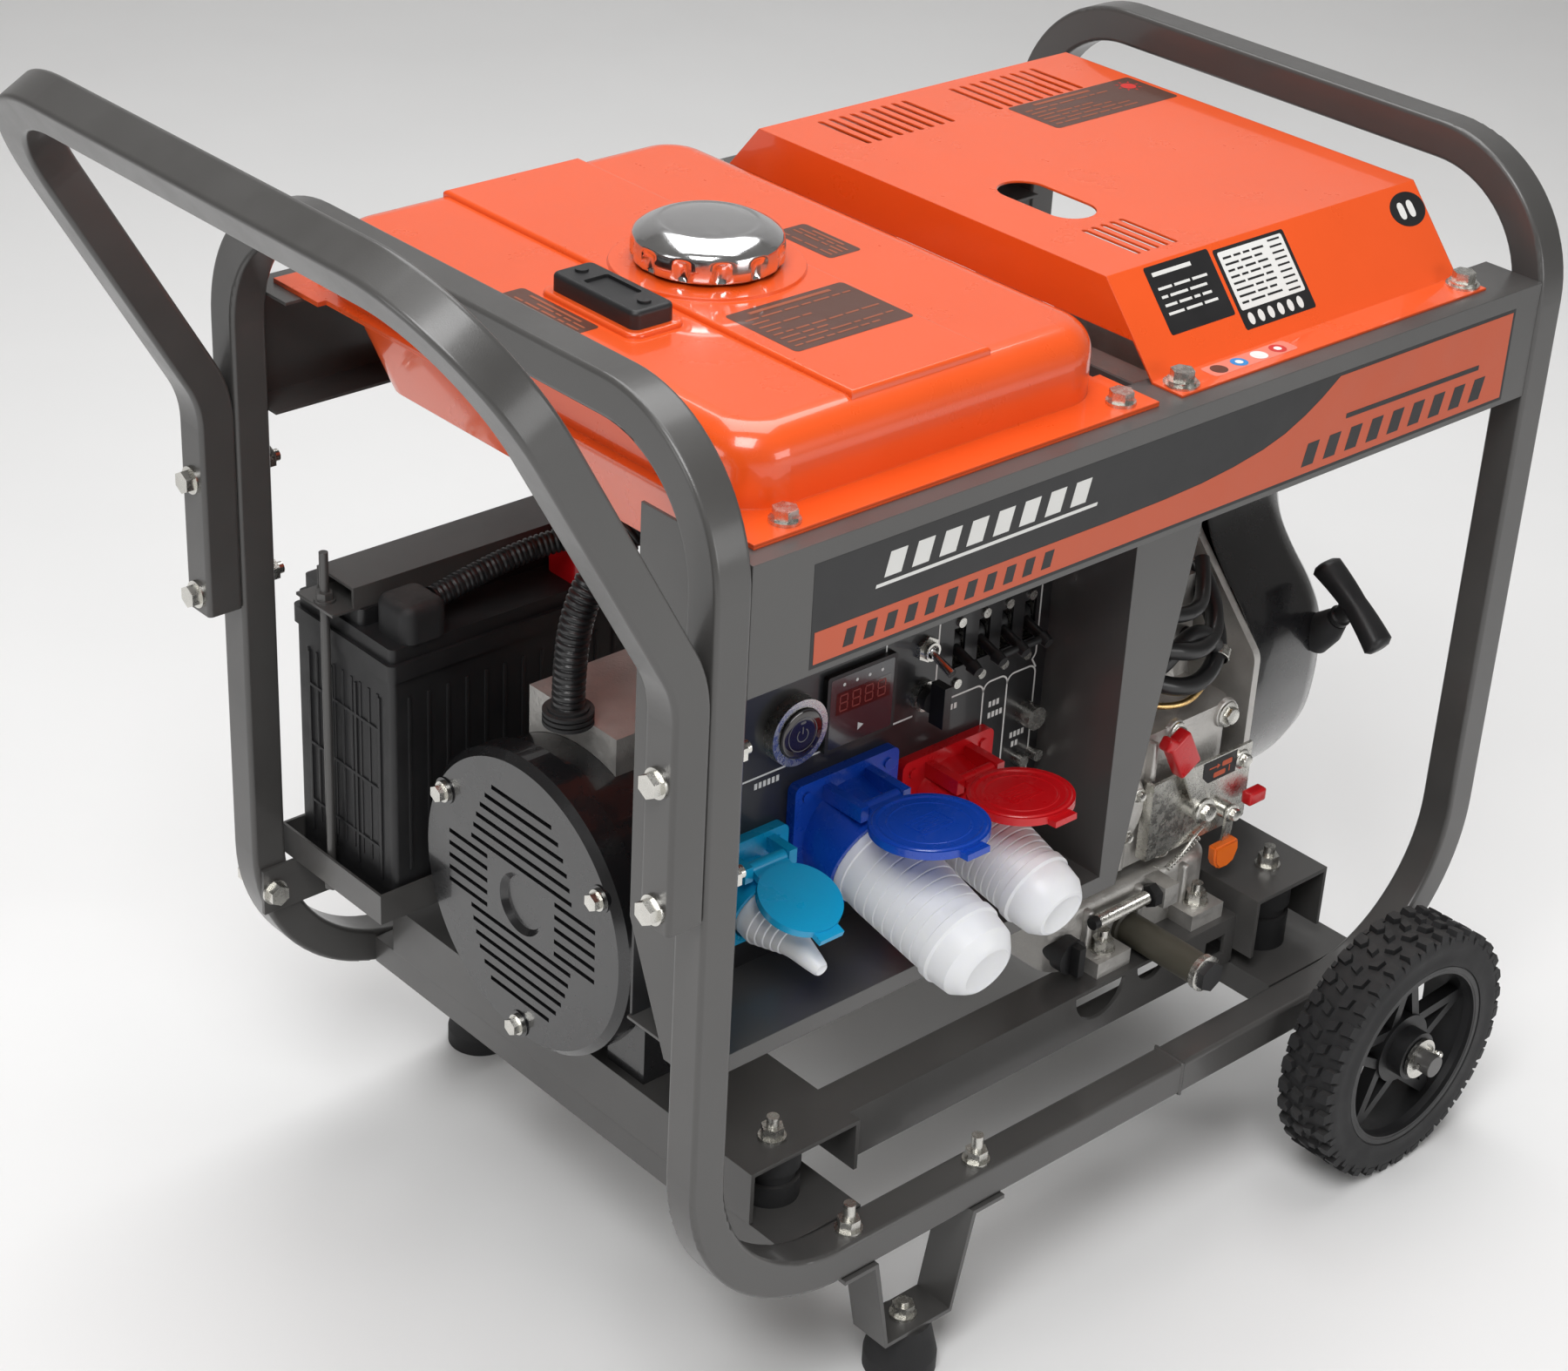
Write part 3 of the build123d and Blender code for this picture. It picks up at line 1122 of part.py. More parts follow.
def engine_fittings():
    """Drain tube, hose, injection pipe and oil sensor."""
    y0 = -SUMP_Y
    out = [rod((DRAIN_X, y0, DRAIN_Z), (0, -1, 0), DRAIN_R, y0 - DRAIN_END)
           + hexa((DRAIN_X, DRAIN_END, DRAIN_Z), (0, -1, 0), 19, 8)]
    yb = -BLOCK_Y - 33
    out.append(loom([(486, -BLOCK_Y, 366), (486, yb, 366), (528, yb, 392),
                     (555, yb, 362), (555, -BLOCK_Y, 362)], 6))
    z0 = CRANK_Z + 40
    out.append(loom([(452, -115, z0), (452, -115, z0 + 110), (470, -112, z0 + 174),
                     (500, -96, z0 + 190), (500, -50, z0 + 190)], 3))
    zs = CRADLE_Z + 36
    out.append(rod((477.9, -159, zs), (-1, 0, 0), 4.4, 62)
               + hexa((477.9, -159, zs), (-1, 0, 0), 15, 7))
    return group(*out)


def dipstick():
    x, z = DIP
    y = -SUMP_Y - 0.4
    b = rod((x, y, z), (0, -1, 0), 12.6, 10)
    b += box(x - 3, x + 3, y - 18, y - 9, z - 11, z + 11)
    return b + rod((x, y - 1, z), (0, 1, 0), 10, 38)


# ---- build every node ----
studs = rail_holes(FOOT_STUDS_X, TUBE + 4)
left = frame_half(RAIL_SPLIT_X, TUBE / 2) - studs - post_holes()
left -= rod((TUBE / 2, HALF_W - TUBE - 2, BATT_Z0 - 20), (0, 1, 0), 4.3, TUBE + 4)
right = frame_half(RAIL_SPLIT_X, FRAME_L - TUBE / 2) - rail_holes(AXLE_STUDS_X, TAP_DEPTH + 3)
save("frame_left", left)
save("frame_right", right)
save("side_band_front", side_band())
save("side_band_back", mirror_y(side_band()))
save("base_plates", group(base_plate(*PLATE_LEFT, MOUNT_LEFT_X),
                          base_plate(*PLATE_RIGHT, MOUNT_RIGHT_X)))
save("engine_cradle", engine_cradle())
save("rubber_parts", rubber_parts())
save("frame_studs", group(frame_studs(), *alternator_bolts(), tray_bolt(), *cover_spacers(),
                          wheel_pins()))
save("foot_brackets", group(foot_bracket(-1), foot_bracket(1)))
save("handle_bar", handle_bar())
save("flange_bolts", flange_bolts())
save("axle_stubs", axle_stubs())
save("tyre_front", tyre(-1))
save("tyre_back", tyre(1))
save("wheel_hub_front", wheel_hub(-1))
save("wheel_hub_back", wheel_hub(1))
save("tank_upper", tank_upper())
save("tank_lower", tank_lower())
save("fuel_gauge", fuel_gauge())
save("fuel_cap", fuel_cap())
save("top_cover", top_cover())
save("battery", battery())
save("battery_clamp", battery_clamp())
save("battery_tray", battery_tray())
save("rubber_boots", group(terminal_boots(), alternator_boot()))
save("battery_loom", battery_loom())
save("alternator_loom", alternator_loom())
save("alternator_cover", alternator_cover())
save("alternator_body", alternator_body())
save("alternator_bell", alternator_bell())
save("control_housing", control_housing())
save("panel_face", panel_face())
save("digital_meter", meter())
save("panel_fittings", panel_fittings())
save("start_button", start_button())
save("toggle_lever", toggle_lever())
save("key_knob", key_knob())
save("breaker_single", breaker_lever(BREAKERS_X[0]))
save("breaker_triple", breaker_triple())
save("socket_blue", socket_base(SOCK_BLUE, 84, 85, 31, 46, HINGE_BLUE))
save("socket_red", socket_base(SOCK_RED, 78, 78, 28, 42, HINGE_RED))
save("socket_small", socket_base(SOCK_SMALL, 62, 72, 21, 34, HINGE_SMALL))
save("flap_blue", flap(SOCK_BLUE, HINGE_BLUE, 36, 4))
save("flap_red", flap(SOCK_RED, HINGE_RED, 33, 4))
save("flap_small", flap(SOCK_SMALL, HINGE_SMALL, 26, -20))
save("plug_blue", plug(SOCK_BLUE, 30, 40, 138, 30.7))
save("plug_red", plug(SOCK_RED, 27, 36, 116, 27.7))
save("plug_small", small_plug())
save("crankcase", crankcase())
save("cylinder_head", cylinder_head())
save("flywheel_shroud", flywheel_shroud())
save("shroud_flange", shroud_flange())
save("recoil_handle", recoil_handle())
save("throttle_bracket", throttle_bracket())
save("throttle_lever", throttle_lever())
save("stop_lever", stop_lever())
save("muffler", muffler())
save("air_cleaner", air_cleaner())
save("engine_fittings", engine_fittings())
save("dipstick", dipstick())
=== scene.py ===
import bpy
import bmesh
import json
import math
import random
import numpy as np
from mathutils import Vector, Matrix


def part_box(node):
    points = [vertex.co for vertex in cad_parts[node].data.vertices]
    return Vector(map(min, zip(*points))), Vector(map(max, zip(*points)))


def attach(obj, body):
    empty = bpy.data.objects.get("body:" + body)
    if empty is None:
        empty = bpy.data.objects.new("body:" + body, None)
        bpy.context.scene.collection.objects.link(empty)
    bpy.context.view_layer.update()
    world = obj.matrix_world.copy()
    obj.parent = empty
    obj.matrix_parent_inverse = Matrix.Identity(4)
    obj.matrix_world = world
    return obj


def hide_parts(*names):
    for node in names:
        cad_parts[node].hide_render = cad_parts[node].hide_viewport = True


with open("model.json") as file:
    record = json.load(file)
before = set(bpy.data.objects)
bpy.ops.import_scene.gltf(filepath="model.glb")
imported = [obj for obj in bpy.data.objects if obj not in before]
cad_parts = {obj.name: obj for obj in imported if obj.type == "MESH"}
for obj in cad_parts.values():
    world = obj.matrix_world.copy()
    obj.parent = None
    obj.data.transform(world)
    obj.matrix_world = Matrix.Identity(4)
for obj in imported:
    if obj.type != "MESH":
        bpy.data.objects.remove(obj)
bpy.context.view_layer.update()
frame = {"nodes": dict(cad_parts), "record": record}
NODES = frame["nodes"]
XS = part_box("frame_left")[0].x        # outer face of the handle-side posts
MM = 0.001


def W(x, y, z):
    """Millimetres from the handle-side posts, the mid-plane and the ground."""
    return Vector((XS + x * MM, y * MM, z * MM))


# ---------------------------------------------------------------- materials
def node_setup(name):
    m = bpy.data.materials.new(name)
    m.use_nodes = True
    nt = m.node_tree
    bsdf = nt.nodes["Principled BSDF"]
    tc = nt.nodes.new("ShaderNodeTexCoord")
    return m, nt, bsdf, tc


def noise(nt, tc, scale, detail=4.0, rough=0.6, stretch=None):
    n = nt.nodes.new("ShaderNodeTexNoise")
    n.inputs["Scale"].default_value = scale
    n.inputs["Detail"].default_value = detail
    n.inputs["Roughness"].default_value = rough
    if stretch:
        mp = nt.nodes.new("ShaderNodeMapping")
        mp.inputs["Scale"].default_value = stretch
        nt.links.new(tc.outputs["Object"], mp.inputs["Vector"])
        nt.links.new(mp.outputs["Vector"], n.inputs["Vector"])
    else:
        nt.links.new(tc.outputs["Object"], n.inputs["Vector"])
    return n.outputs["Fac"]


def ramp(nt, fac, stops):
    r = nt.nodes.new("ShaderNodeValToRGB")
    e = r.color_ramp.elements
    while len(e) < len(stops):
        e.new(0.5)
    for el, (p, c) in zip(e, stops):
        el.position = p
        el.color = c if len(c) == 4 else (*c, 1)
    nt.links.new(fac, r.inputs["Fac"])
    return r.outputs["Color"]


def remap(nt, fac, a, b, lo=0.0, hi=1.0):
    r = nt.nodes.new("ShaderNodeMapRange")
    r.inputs["From Min"].default_value = lo
    r.inputs["From Max"].default_value = hi
    r.inputs["To Min"].default_value = a
    r.inputs["To Max"].default_value = b
    nt.links.new(fac, r.inputs["Value"])
    return r.outputs["Result"]


def mix(nt, fac, a, b):
    m = nt.nodes.new("ShaderNodeMix")
    m.data_type = "RGBA"
    nt.links.new(fac, m.inputs["Factor"])
    for sock, v in ((m.inputs[6], a), (m.inputs[7], b)):
        if isinstance(v, (tuple, list)):
            sock.default_value = (*v, 1) if len(v) == 3 else v
        else:
            nt.links.new(v, sock)
    return m.outputs[2]


def bump(nt, bsdf, height, strength, dist=0.001):
    b = nt.nodes.new("ShaderNodeBump")
    b.inputs["Strength"].default_value = strength
    b.inputs["Distance"].default_value = dist
    nt.links.new(height, b.inputs["Height"])
    prev = bsdf.inputs["Normal"].links
    if prev:
        nt.links.new(prev[0].from_socket, b.inputs["Normal"])
    nt.links.new(b.outputs["Normal"], bsdf.inputs["Normal"])


def scale(c, k):
    return tuple(min(1.0, v * k) for v in c)


def surface(name, color, rough, metal=0.0, coat=0.0, coat_rough=0.08, vary=0.06, big=9.0,
            fine=900.0, fine_bump=0.05, rough_var=0.06, spec=0.5, mid=0.0, mid_scale=120.0,
            dust=0.0, stretch=None, trans=0.0, round_mm=0.0):
    m, nt, b, tc = node_setup(name)
    large = noise(nt, tc, big, 5.0)
    small = noise(nt, tc, fine, 3.0, 0.55, stretch)
    col = ramp(nt, large, [(0.3, scale(color, 1 - vary)), (0.7, scale(color, 1 + vary))])
    if dust:
        up = nt.nodes.new("ShaderNodeNewGeometry")
        sep = nt.nodes.new("ShaderNodeSeparateXYZ")
        nt.links.new(up.outputs["Normal"], sep.inputs[0])
        mul = nt.nodes.new("ShaderNodeMath")
        mul.operation = "MULTIPLY"
        nt.links.new(remap(nt, sep.outputs["Z"], 0.0, dust, 0.6, 1.0), mul.inputs[0])
        nt.links.new(remap(nt, noise(nt, tc, 60.0, 6.0), 0.2, 1.0, 0.35, 0.7), mul.inputs[1])
        col = mix(nt, mul.outputs[0], col, (0.32, 0.30, 0.28))
    nt.links.new(col, b.inputs["Base Color"])
    nt.links.new(remap(nt, noise(nt, tc, big * 4, 5.0), max(0.02, rough - rough_var),
                       rough + rough_var, 0.3, 0.7), b.inputs["Roughness"])
    b.inputs["Metallic"].default_value = metal
    b.inputs["Specular IOR Level"].default_value = spec
    if coat:
        b.inputs["Coat Weight"].default_value = coat
        b.inputs["Coat Roughness"].default_value = coat_rough
    if trans:
        b.inputs["Subsurface Weight"].default_value = trans
        b.inputs["Subsurface Radius"].default_value = (0.004, 0.004, 0.005)
    if round_mm:
        bv = nt.nodes.new("ShaderNodeBevel")
        bv.samples = 4
        bv.inputs["Radius"].default_value = round_mm * MM
        nt.links.new(bv.outputs["Normal"], b.inputs["Normal"])
    if mid:
        bump(nt, b, noise(nt, tc, mid_scale, 4.0), mid, 0.0012)
    bump(nt, b, small, fine_bump, 0.0006)
    return m


def tank_paint():
    return surface("orange_enamel", (0.82, 0.092, 0.010), 0.30, coat=0.85, coat_rough=0.05,
                   vary=0.05, big=4.0, fine=700.0, fine_bump=0.04, rough_var=0.05,
                   mid=0.02, mid_scale=14.0, round_mm=1.2)


def frame_paint():
    return surface("frame_enamel", (0.066, 0.064, 0.062), 0.36, coat=0.4, coat_rough=0.16,
                   vary=0.10, big=6.0, fine=1300.0, fine_bump=0.10, rough_var=0.07,
                   mid=0.02, mid_scale=60.0, round_mm=0.9)


MAT = {
    "frame_paint": frame_paint(),
    "orange_paint": tank_paint(),
    "black_paint": surface("black_enamel", (0.010, 0.010, 0.011), 0.26, coat=0.7, coat_rough=0.07,
                           vary=0.2, fine=900.0, fine_bump=0.05, mid=0.03, mid_scale=35.0),
    "rubber": surface("rubber_black", (0.016, 0.016, 0.017), 0.62, vary=0.25, fine=1500.0,
                      fine_bump=0.2, rough_var=0.1, dust=0.12, spec=0.4),
    "tyre": surface("tyre_rubber", (0.020, 0.020, 0.021), 0.66, vary=0.3, fine=1800.0,
                    fine_bump=0.3, rough_var=0.1, dust=0.10, spec=0.35),
    "black_plastic": surface("plastic_black", (0.014, 0.014, 0.015), 0.42, vary=0.2, fine=2200.0,
                             fine_bump=0.25, rough_var=0.08),
    "zinc": surface("zinc_plate", (0.66, 0.65, 0.61), 0.27, metal=1.0, vary=0.12, big=60.0,
                    fine=1600.0, fine_bump=0.15, rough_var=0.09),
    "chrome": surface("chrome_plate", (0.80, 0.80, 0.81), 0.13, metal=1.0, vary=0.03, big=30.0,
                      fine=1200.0, fine_bump=0.04, rough_var=0.04, stretch=(1, 1, 0.2)),
    "cast_aluminium": surface("cast_alloy", (0.60, 0.585, 0.56), 0.44, metal=0.75, vary=0.16,
                              big=24.0, fine=520.0, fine_bump=0.55, rough_var=0.10, mid=0.25,
                              mid_scale=180.0),
    "blue_plastic": surface("plastic_blue", (0.004, 0.055, 0.42), 0.28, coat=0.3, vary=0.06,
                            fine=1500.0, fine_bump=0.08),
    "red_plastic": surface("plastic_red", (0.56, 0.004, 0.008), 0.30, coat=0.3, vary=0.06,
                           fine=1500.0, fine_bump=0.08),
    "cyan_plastic": surface("plastic_cyan", (0.004, 0.34, 0.62), 0.30, coat=0.3, vary=0.06,
                            fine=1500.0, fine_bump=0.08),
    "white_plastic": surface("plastic_white", (0.80, 0.81, 0.83), 0.38, vary=0.03, fine=1300.0,
                             fine_bump=0.10, trans=0.35),
    "orange_plastic": surface("plastic_orange", (0.86, 0.16, 0.01), 0.35, coat=0.2, vary=0.06,
                              fine=1500.0, fine_bump=0.08),
    "decal_black": surface("decal_black", (0.013, 0.013, 0.014), 0.46, vary=0.15, fine=1900.0,
                           fine_bump=0.06),
    "decal_orange": surface("decal_orange", (0.54, 0.095, 0.038), 0.50, vary=0.05, fine=1900.0,
                            fine_bump=0.06),
    "print_dark": surface("print_dark", (0.085, 0.026, 0.014), 0.40, coat=0.4, vary=0.12,
                          fine=1500.0, fine_bump=0.05),
    "print_light": surface("print_light", (0.30, 0.075, 0.03), 0.42, vary=0.1, fine=1500.0),
    "print_white": surface("print_white", (0.72, 0.72, 0.70), 0.5, vary=0.05, fine=1500.0),
    "label_white": surface("label_white", (0.74, 0.74, 0.72), 0.42, vary=0.04, fine=1500.0),
    "panel_black": surface("panel_black", (0.012, 0.012, 0.013), 0.34, coat=0.3, vary=0.15,
                           fine=1700.0, fine_bump=0.12),
    "digit_red": surface("digit_red", (0.22, 0.018, 0.012), 0.35, vary=0.1),
    "glass_dark": surface("window_dark", (0.020, 0.012, 0.012), 0.08, coat=1.0, vary=0.1),
    "conduit": surface("conduit_black", (0.010, 0.010, 0.011), 0.42, coat=0.25, vary=0.2,
                       fine=1600.0, fine_bump=0.1, rough_var=0.08),
    "mark_red": surface("mark_red", (0.55, 0.02, 0.015), 0.45, vary=0.08, fine=1500.0),
    "mark_blue": surface("mark_blue", (0.01, 0.22, 0.55), 0.45, vary=0.08, fine=1500.0),
    "print_pink": surface("print_pink", (0.72, 0.20, 0.14), 0.42, vary=0.08, fine=1500.0),
    "print_grey": surface("print_grey", (0.16, 0.16, 0.165), 0.4, vary=0.08, fine=1500.0),
    "meter_glass": surface("meter_glass", (0.030, 0.030, 0.036), 0.16, coat=0.8, vary=0.1,
                           fine=1500.0),
    "olive_rubber": surface("olive_rubber", (0.060, 0.055, 0.040), 0.45, vary=0.15,
                            fine=1500.0),
    "rope": surface("rope_cord", (0.03, 0.03, 0.03), 0.7, vary=0.3, fine=1500.0,
                    fine_bump=0.5),
    "brass": surface("brass_fitting", (0.70, 0.47, 0.20), 0.3, metal=1.0, vary=0.1, big=50.0,
                     fine=1300.0, fine_bump=0.15),
}


def slot_of(node):
    for s in frame["record"]["subparts"]:
        if s["node"] == node:
            return s["material_slot"]
    return None


for name, ob in NODES.items():
    mat = MAT[slot_of(name)]
    if name == "panel_face":
        mat = MAT["panel_black"]
    ob.data.materials.clear()
    ob.data.materials.append(mat)


# ---------------------------------------------------------------- piece makers
def finish_piece(name, me, mat, body="machine", angle=35.0):
    ob = bpy.data.objects.new(name, me)
    bpy.context.scene.collection.objects.link(ob)
    me.materials.clear()
    me.materials.append(MAT[mat])
    me.shade_smooth()
    me.set_sharp_from_angle(angle=math.radians(angle))
    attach(ob, body)
    return ob


def from_bmesh(name, bm, mat, body="machine", angle=35.0):
    me = bpy.data.meshes.new(name)
    bmesh.ops.recalc_face_normals(bm, faces=bm.faces)
    bm.to_mesh(me)
    bm.free()
    return finish_piece(name, me, mat, body, angle)


def add_prism(bm, pts, origin, u, v, n, t):
    """Flat polygon pts in millimetres along u and v, thickness t along n."""
    lo = [bm.verts.new(origin + u * (p[0] * MM) + v * (p[1] * MM)) for p in pts]
    hi = [bm.verts.new(w.co + n * (t * MM)) for w in lo]
    k = len(pts)
    bm.faces.new(lo[::-1])
    bm.faces.new(hi)
    for i in range(k):
        bm.faces.new((lo[i], lo[(i + 1) % k], hi[(i + 1) % k], hi[i]))


def skin(bm, rows):
    """Quads between each ring of vertices and the next."""
    for a, b in zip(rows, rows[1:]):
        k = len(a)
        for i in range(k):
            bm.faces.new((a[i], a[(i + 1) % k], b[(i + 1) % k], b[i]))


def prism_piece(name, pts, origin, u, v, n, t, mat, body="machine"):
    """One flat polygon of thickness t as a piece of its own."""
    bm = bmesh.new()
    add_prism(bm, pts, origin, u, v, n, t)
    return from_bmesh(name, bm, mat, body)


def rrect(x0, y0, x1, y1, r, seg=5):
    out = []
    for cx, cy, a0 in ((x1 - r, y1 - r, 0), (x0 + r, y1 - r, 90), (x0 + r, y0 + r, 180),
                       (x1 - r, y0 + r, 270)):
        for i in range(seg + 1):
            a = math.radians(a0 + 90 * i / seg)
            out.append((cx + r * math.cos(a), cy + r * math.sin(a)))
    return out


def circle(cx, cy, r, seg=32, ry=None):
    ry = ry or r
    return [(cx + r * math.cos(2 * math.pi * i / seg), cy + ry * math.sin(2 * math.pi * i / seg))
            for i in range(seg)]


def add_frame(bm, outer, inner, origin, u, v, n, t):
    """Flat ring between two outlines with the same number of points."""
    k = len(outer)
    rows = []
    for pts, h in ((outer, 0), (outer, t), (inner, t), (inner, 0)):
        rows.append([bm.verts.new(origin + u * (p[0] * MM) + v * (p[1] * MM) + n * (h * MM))
                     for p in pts])
    for a in range(4):
        ra, rb = rows[a], rows[(a + 1) % 4]
        for i in range(k):
            bm.faces.new((ra[i], ra[(i + 1) % k], rb[(i + 1) % k], rb[i]))


def lathe(name, origin, axis, profile, mat, body="machine", seg=64, cap=True,
          angle=30.0):
    """profile: (distance along axis, radius) in millimetres."""
    axis = Vector(axis).normalized()
    side = axis.orthogonal().normalized()
    up = axis.cross(side)
    bm = bmesh.new()
    rows = []
    for s, r in profile:
        c = origin + axis * (s * MM)
        rows.append([bm.verts.new(c + (side * math.cos(2 * math.pi * i / seg)
                                       + up * math.sin(2 * math.pi * i / seg)) * (r * MM))
                     for i in range(seg)])
    skin(bm, rows)
    if cap:
        bm.faces.new(rows[0][::-1])
        bm.faces.new(rows[-1])
    return from_bmesh(name, bm, mat, body, angle)


def curve_points(points, order=3, res=24):
    cu = bpy.data.curves.new("route", "CURVE")
    cu.dimensions = "3D"
    sp = cu.splines.new("NURBS")
    sp.points.add(len(points) - 1)
    for p, co in zip(sp.points, points):
        p.co = (*co, 1)
    sp.order_u = order
    sp.use_endpoint_u = True
    cu.resolution_u = res
    ob = bpy.data.objects.new("route", cu)
    bpy.context.scene.collection.objects.link(ob)
    bpy.context.view_layer.update()
    me = bpy.data.meshes.new_from_object(ob)
    pts = [v.co.copy() for v in me.vertices]
    bpy.data.objects.remove(ob)
    bpy.data.meshes.remove(me)
    return pts


def resample(pts, step):
    d = [0.0]
    for a, b in zip(pts, pts[1:]):
        d.append(d[-1] + (b - a).length)
    n = max(4, int(d[-1] / step))
    out = []
    j = 0
    for i in range(n + 1):
        s = d[-1] * i / n
        while j < len(d) - 2 and d[j + 1] < s:
            j += 1
        f = (s - d[j]) / max(1e-9, d[j + 1] - d[j])
        out.append(pts[j].lerp(pts[j + 1], min(1, max(0, f))))
    return out


def tube(name, points, radius, mat, body="machine", step=0.0012, seg=20, rib=None,
         taper=None):
    """Round tube along a smooth curve; rib = (pitch, depth) in millimetres gives corrugation."""
    pts = resample(curve_points(points), step)
    bm = bmesh.new()
    rows = []
    t0 = (pts[1] - pts[0]).normalized()
    side = t0.orthogonal().normalized()
    s = 0.0
    for i, p in enumerate(pts):
        t = (pts[min(i + 1, len(pts) - 1)] - pts[max(i - 1, 0)]).normalized()
        side = (side - t * side.dot(t)).normalized()
        up = t.cross(side)
        if i:
            s += (p - pts[i - 1]).length / MM
        r = radius
        if rib:
            ph = (s % rib[0]) / rib[0]
            r = radius - rib[1] * (0.0 if ph < 0.5 else math.sin((ph - 0.5) * 2 * math.pi) ** 0.6)
        if taper:
            r *= taper(i / (len(pts) - 1))
        rows.append([bm.verts.new(p + (side * math.cos(2 * math.pi * k / seg)
                                       + up * math.sin(2 * math.pi * k / seg)) * (r * MM))
                     for k in range(seg)])
    skin(bm, rows)
    bm.faces.new(rows[0][::-1])
    bm.faces.new(rows[-1])
    return from_bmesh(name, bm, mat, body, 60.0)


X, Y, Z = Vector((1, 0, 0)), Vector((0, 1, 0)), Vector((0, 0, 1))


# ---------------------------------------------------------------- side band graphics
def band_graphic(side):
    n = Vector((0, -1, 0)) if side < 0 else Vector((0, 1, 0))
    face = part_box("side_band_front")[0].y if side < 0 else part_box("side_band_back")[1].y
    o = Vector((XS, face, 0))
    tag = "front" if side < 0 else "back"
    bm = bmesh.new()
    add_prism(bm, [(68.5, 558.7), (671, 558.7), (671, 621.8), (68.5, 621.8)], o, X, Z, n, 0.15)
    from_bmesh("band_backing_" + tag, bm, "decal_black", "machine")
    curve = [(300, 579.6), (345, 580.2), (378, 581.6), (405, 584.4), (431, 588.6), (450, 593.8),
             (468, 601.6), (482, 609.4), (493.5, 617.2), (497, 619.6)]
    pts = [(71, 561), (668.6, 561), (668.6, 619.6)] + curve[::-1] + [(71, 580.4)]
    bm = bmesh.new()
    add_prism(bm, pts, o + n * (0.15 * MM), X, Z, n, 0.12)
    from_bmesh("band_swoosh_" + tag, bm, "decal_orange", "machine")
    bm = bmesh.new()
    top = o + n * (0.27 * MM)
    add_prism(bm, [(508, 588.6), (640, 587.4), (640, 590.8), (508, 592.0)], top, X, Z, n, 0.1)
    for k in range(9):
        x = 470 + 20.5 * k
        add_prism(bm, [(x, 566), (x + 11, 566), (x + 15, 581), (x + 4, 581)], top, X, Z, n, 0.1)
    for k in range(11):
        x = 92 + 15.2 * k
        add_prism(bm, [(x, 565), (x + 7.5, 565), (x + 10, 575.5), (x + 2.5, 575.5)],
                  top, X, Z, n, 0.1)
    from_bmesh("band_marks_dark_" + tag, bm, "decal_black", "machine")
    bm = bmesh.new()
    base = o + n * (0.15 * MM)
    add_prism(bm, [(114, 593.5), (286, 593.5), (286.6, 595.6), (114.6, 595.6)], base, X, Z, n, 0.1)
    for k in range(8):
        x = 120 + 20.5 * k
        add_prism(bm, [(x, 598.5), (x + 12.5, 598.5), (x + 16.5, 613), (x + 4, 613)],
                  base, X, Z, n, 0.1)
    from_bmesh("band_marks_white_" + tag, bm, "print_white", "machine")


band_graphic(-1)
band_graphic(1)


# ---------------------------------------------------------------- draped labels
def drop_tree(node):
    from mathutils.bvhtree import BVHTree
    me = NODES[node].data
    return BVHTree.FromPolygons([v.co for v in me.vertices], [p.vertices for p in me.polygons])


TREES = {n: drop_tree(n) for n in ("tank_upper", "top_cover")}


def drape(name, node, shapes, mat, lift=0.12, start=800.0, step=6.0):
    """Flat outlines in working x and y, laid down onto a sheet piece."""
    bm = bmesh.new()
    for pts in shapes:
        vs = [bm.verts.new((p[0], p[1], 0)) for p in pts]
        bm.faces.new(vs)
    xs = [v.co.x for v in bm.verts]
    ys = [v.co.y for v in bm.verts]
    for k in np.arange(min(xs) + step, max(xs), step):
        g = bm.verts[:] + bm.edges[:] + bm.faces[:]
        bmesh.ops.bisect_plane(bm, geom=g, plane_co=(k, 0, 0), plane_no=(1, 0, 0))
    for k in np.arange(min(ys) + step, max(ys), step):
        g = bm.verts[:] + bm.edges[:] + bm.faces[:]
        bmesh.ops.bisect_plane(bm, geom=g, plane_co=(0, k, 0), plane_no=(0, 1, 0))
    for v in bm.verts:
        p = W(v.co.x, v.co.y, start)
        hit, nrm, _, _ = TREES[node].ray_cast(p, Vector((0, 0, -1)))
        if hit is None:
            hit, nrm = W(v.co.x, v.co.y, 680), Z
        if nrm.z < 0:
            nrm = -nrm
        v.co = hit + nrm * (lift * MM)
    return from_bmesh(name, bm, mat, "machine", 60.0)


def text_rows(x0, x1, y0, y1, rows, seed, h=1.6):
    """Short bars standing in for print."""
    rng = random.Random(seed)
    out = []
    for k in range(rows):
        y = y1 - (k + 0.5) * (y1 - y0) / rows
        x = x0
        while x < x1 - 4:
            w = min(rng.uniform(5, 16), x1 - x)
            out.append([(x, y - h / 2), (x + w, y - h / 2), (x + w, y + h / 2), (x, y + h / 2)])
            x += w + 2.2
            if rng.random() < 0.12:
                break
    return out


def swapped(shapes):
    return [[(b, a) for a, b in s] for s in shapes]


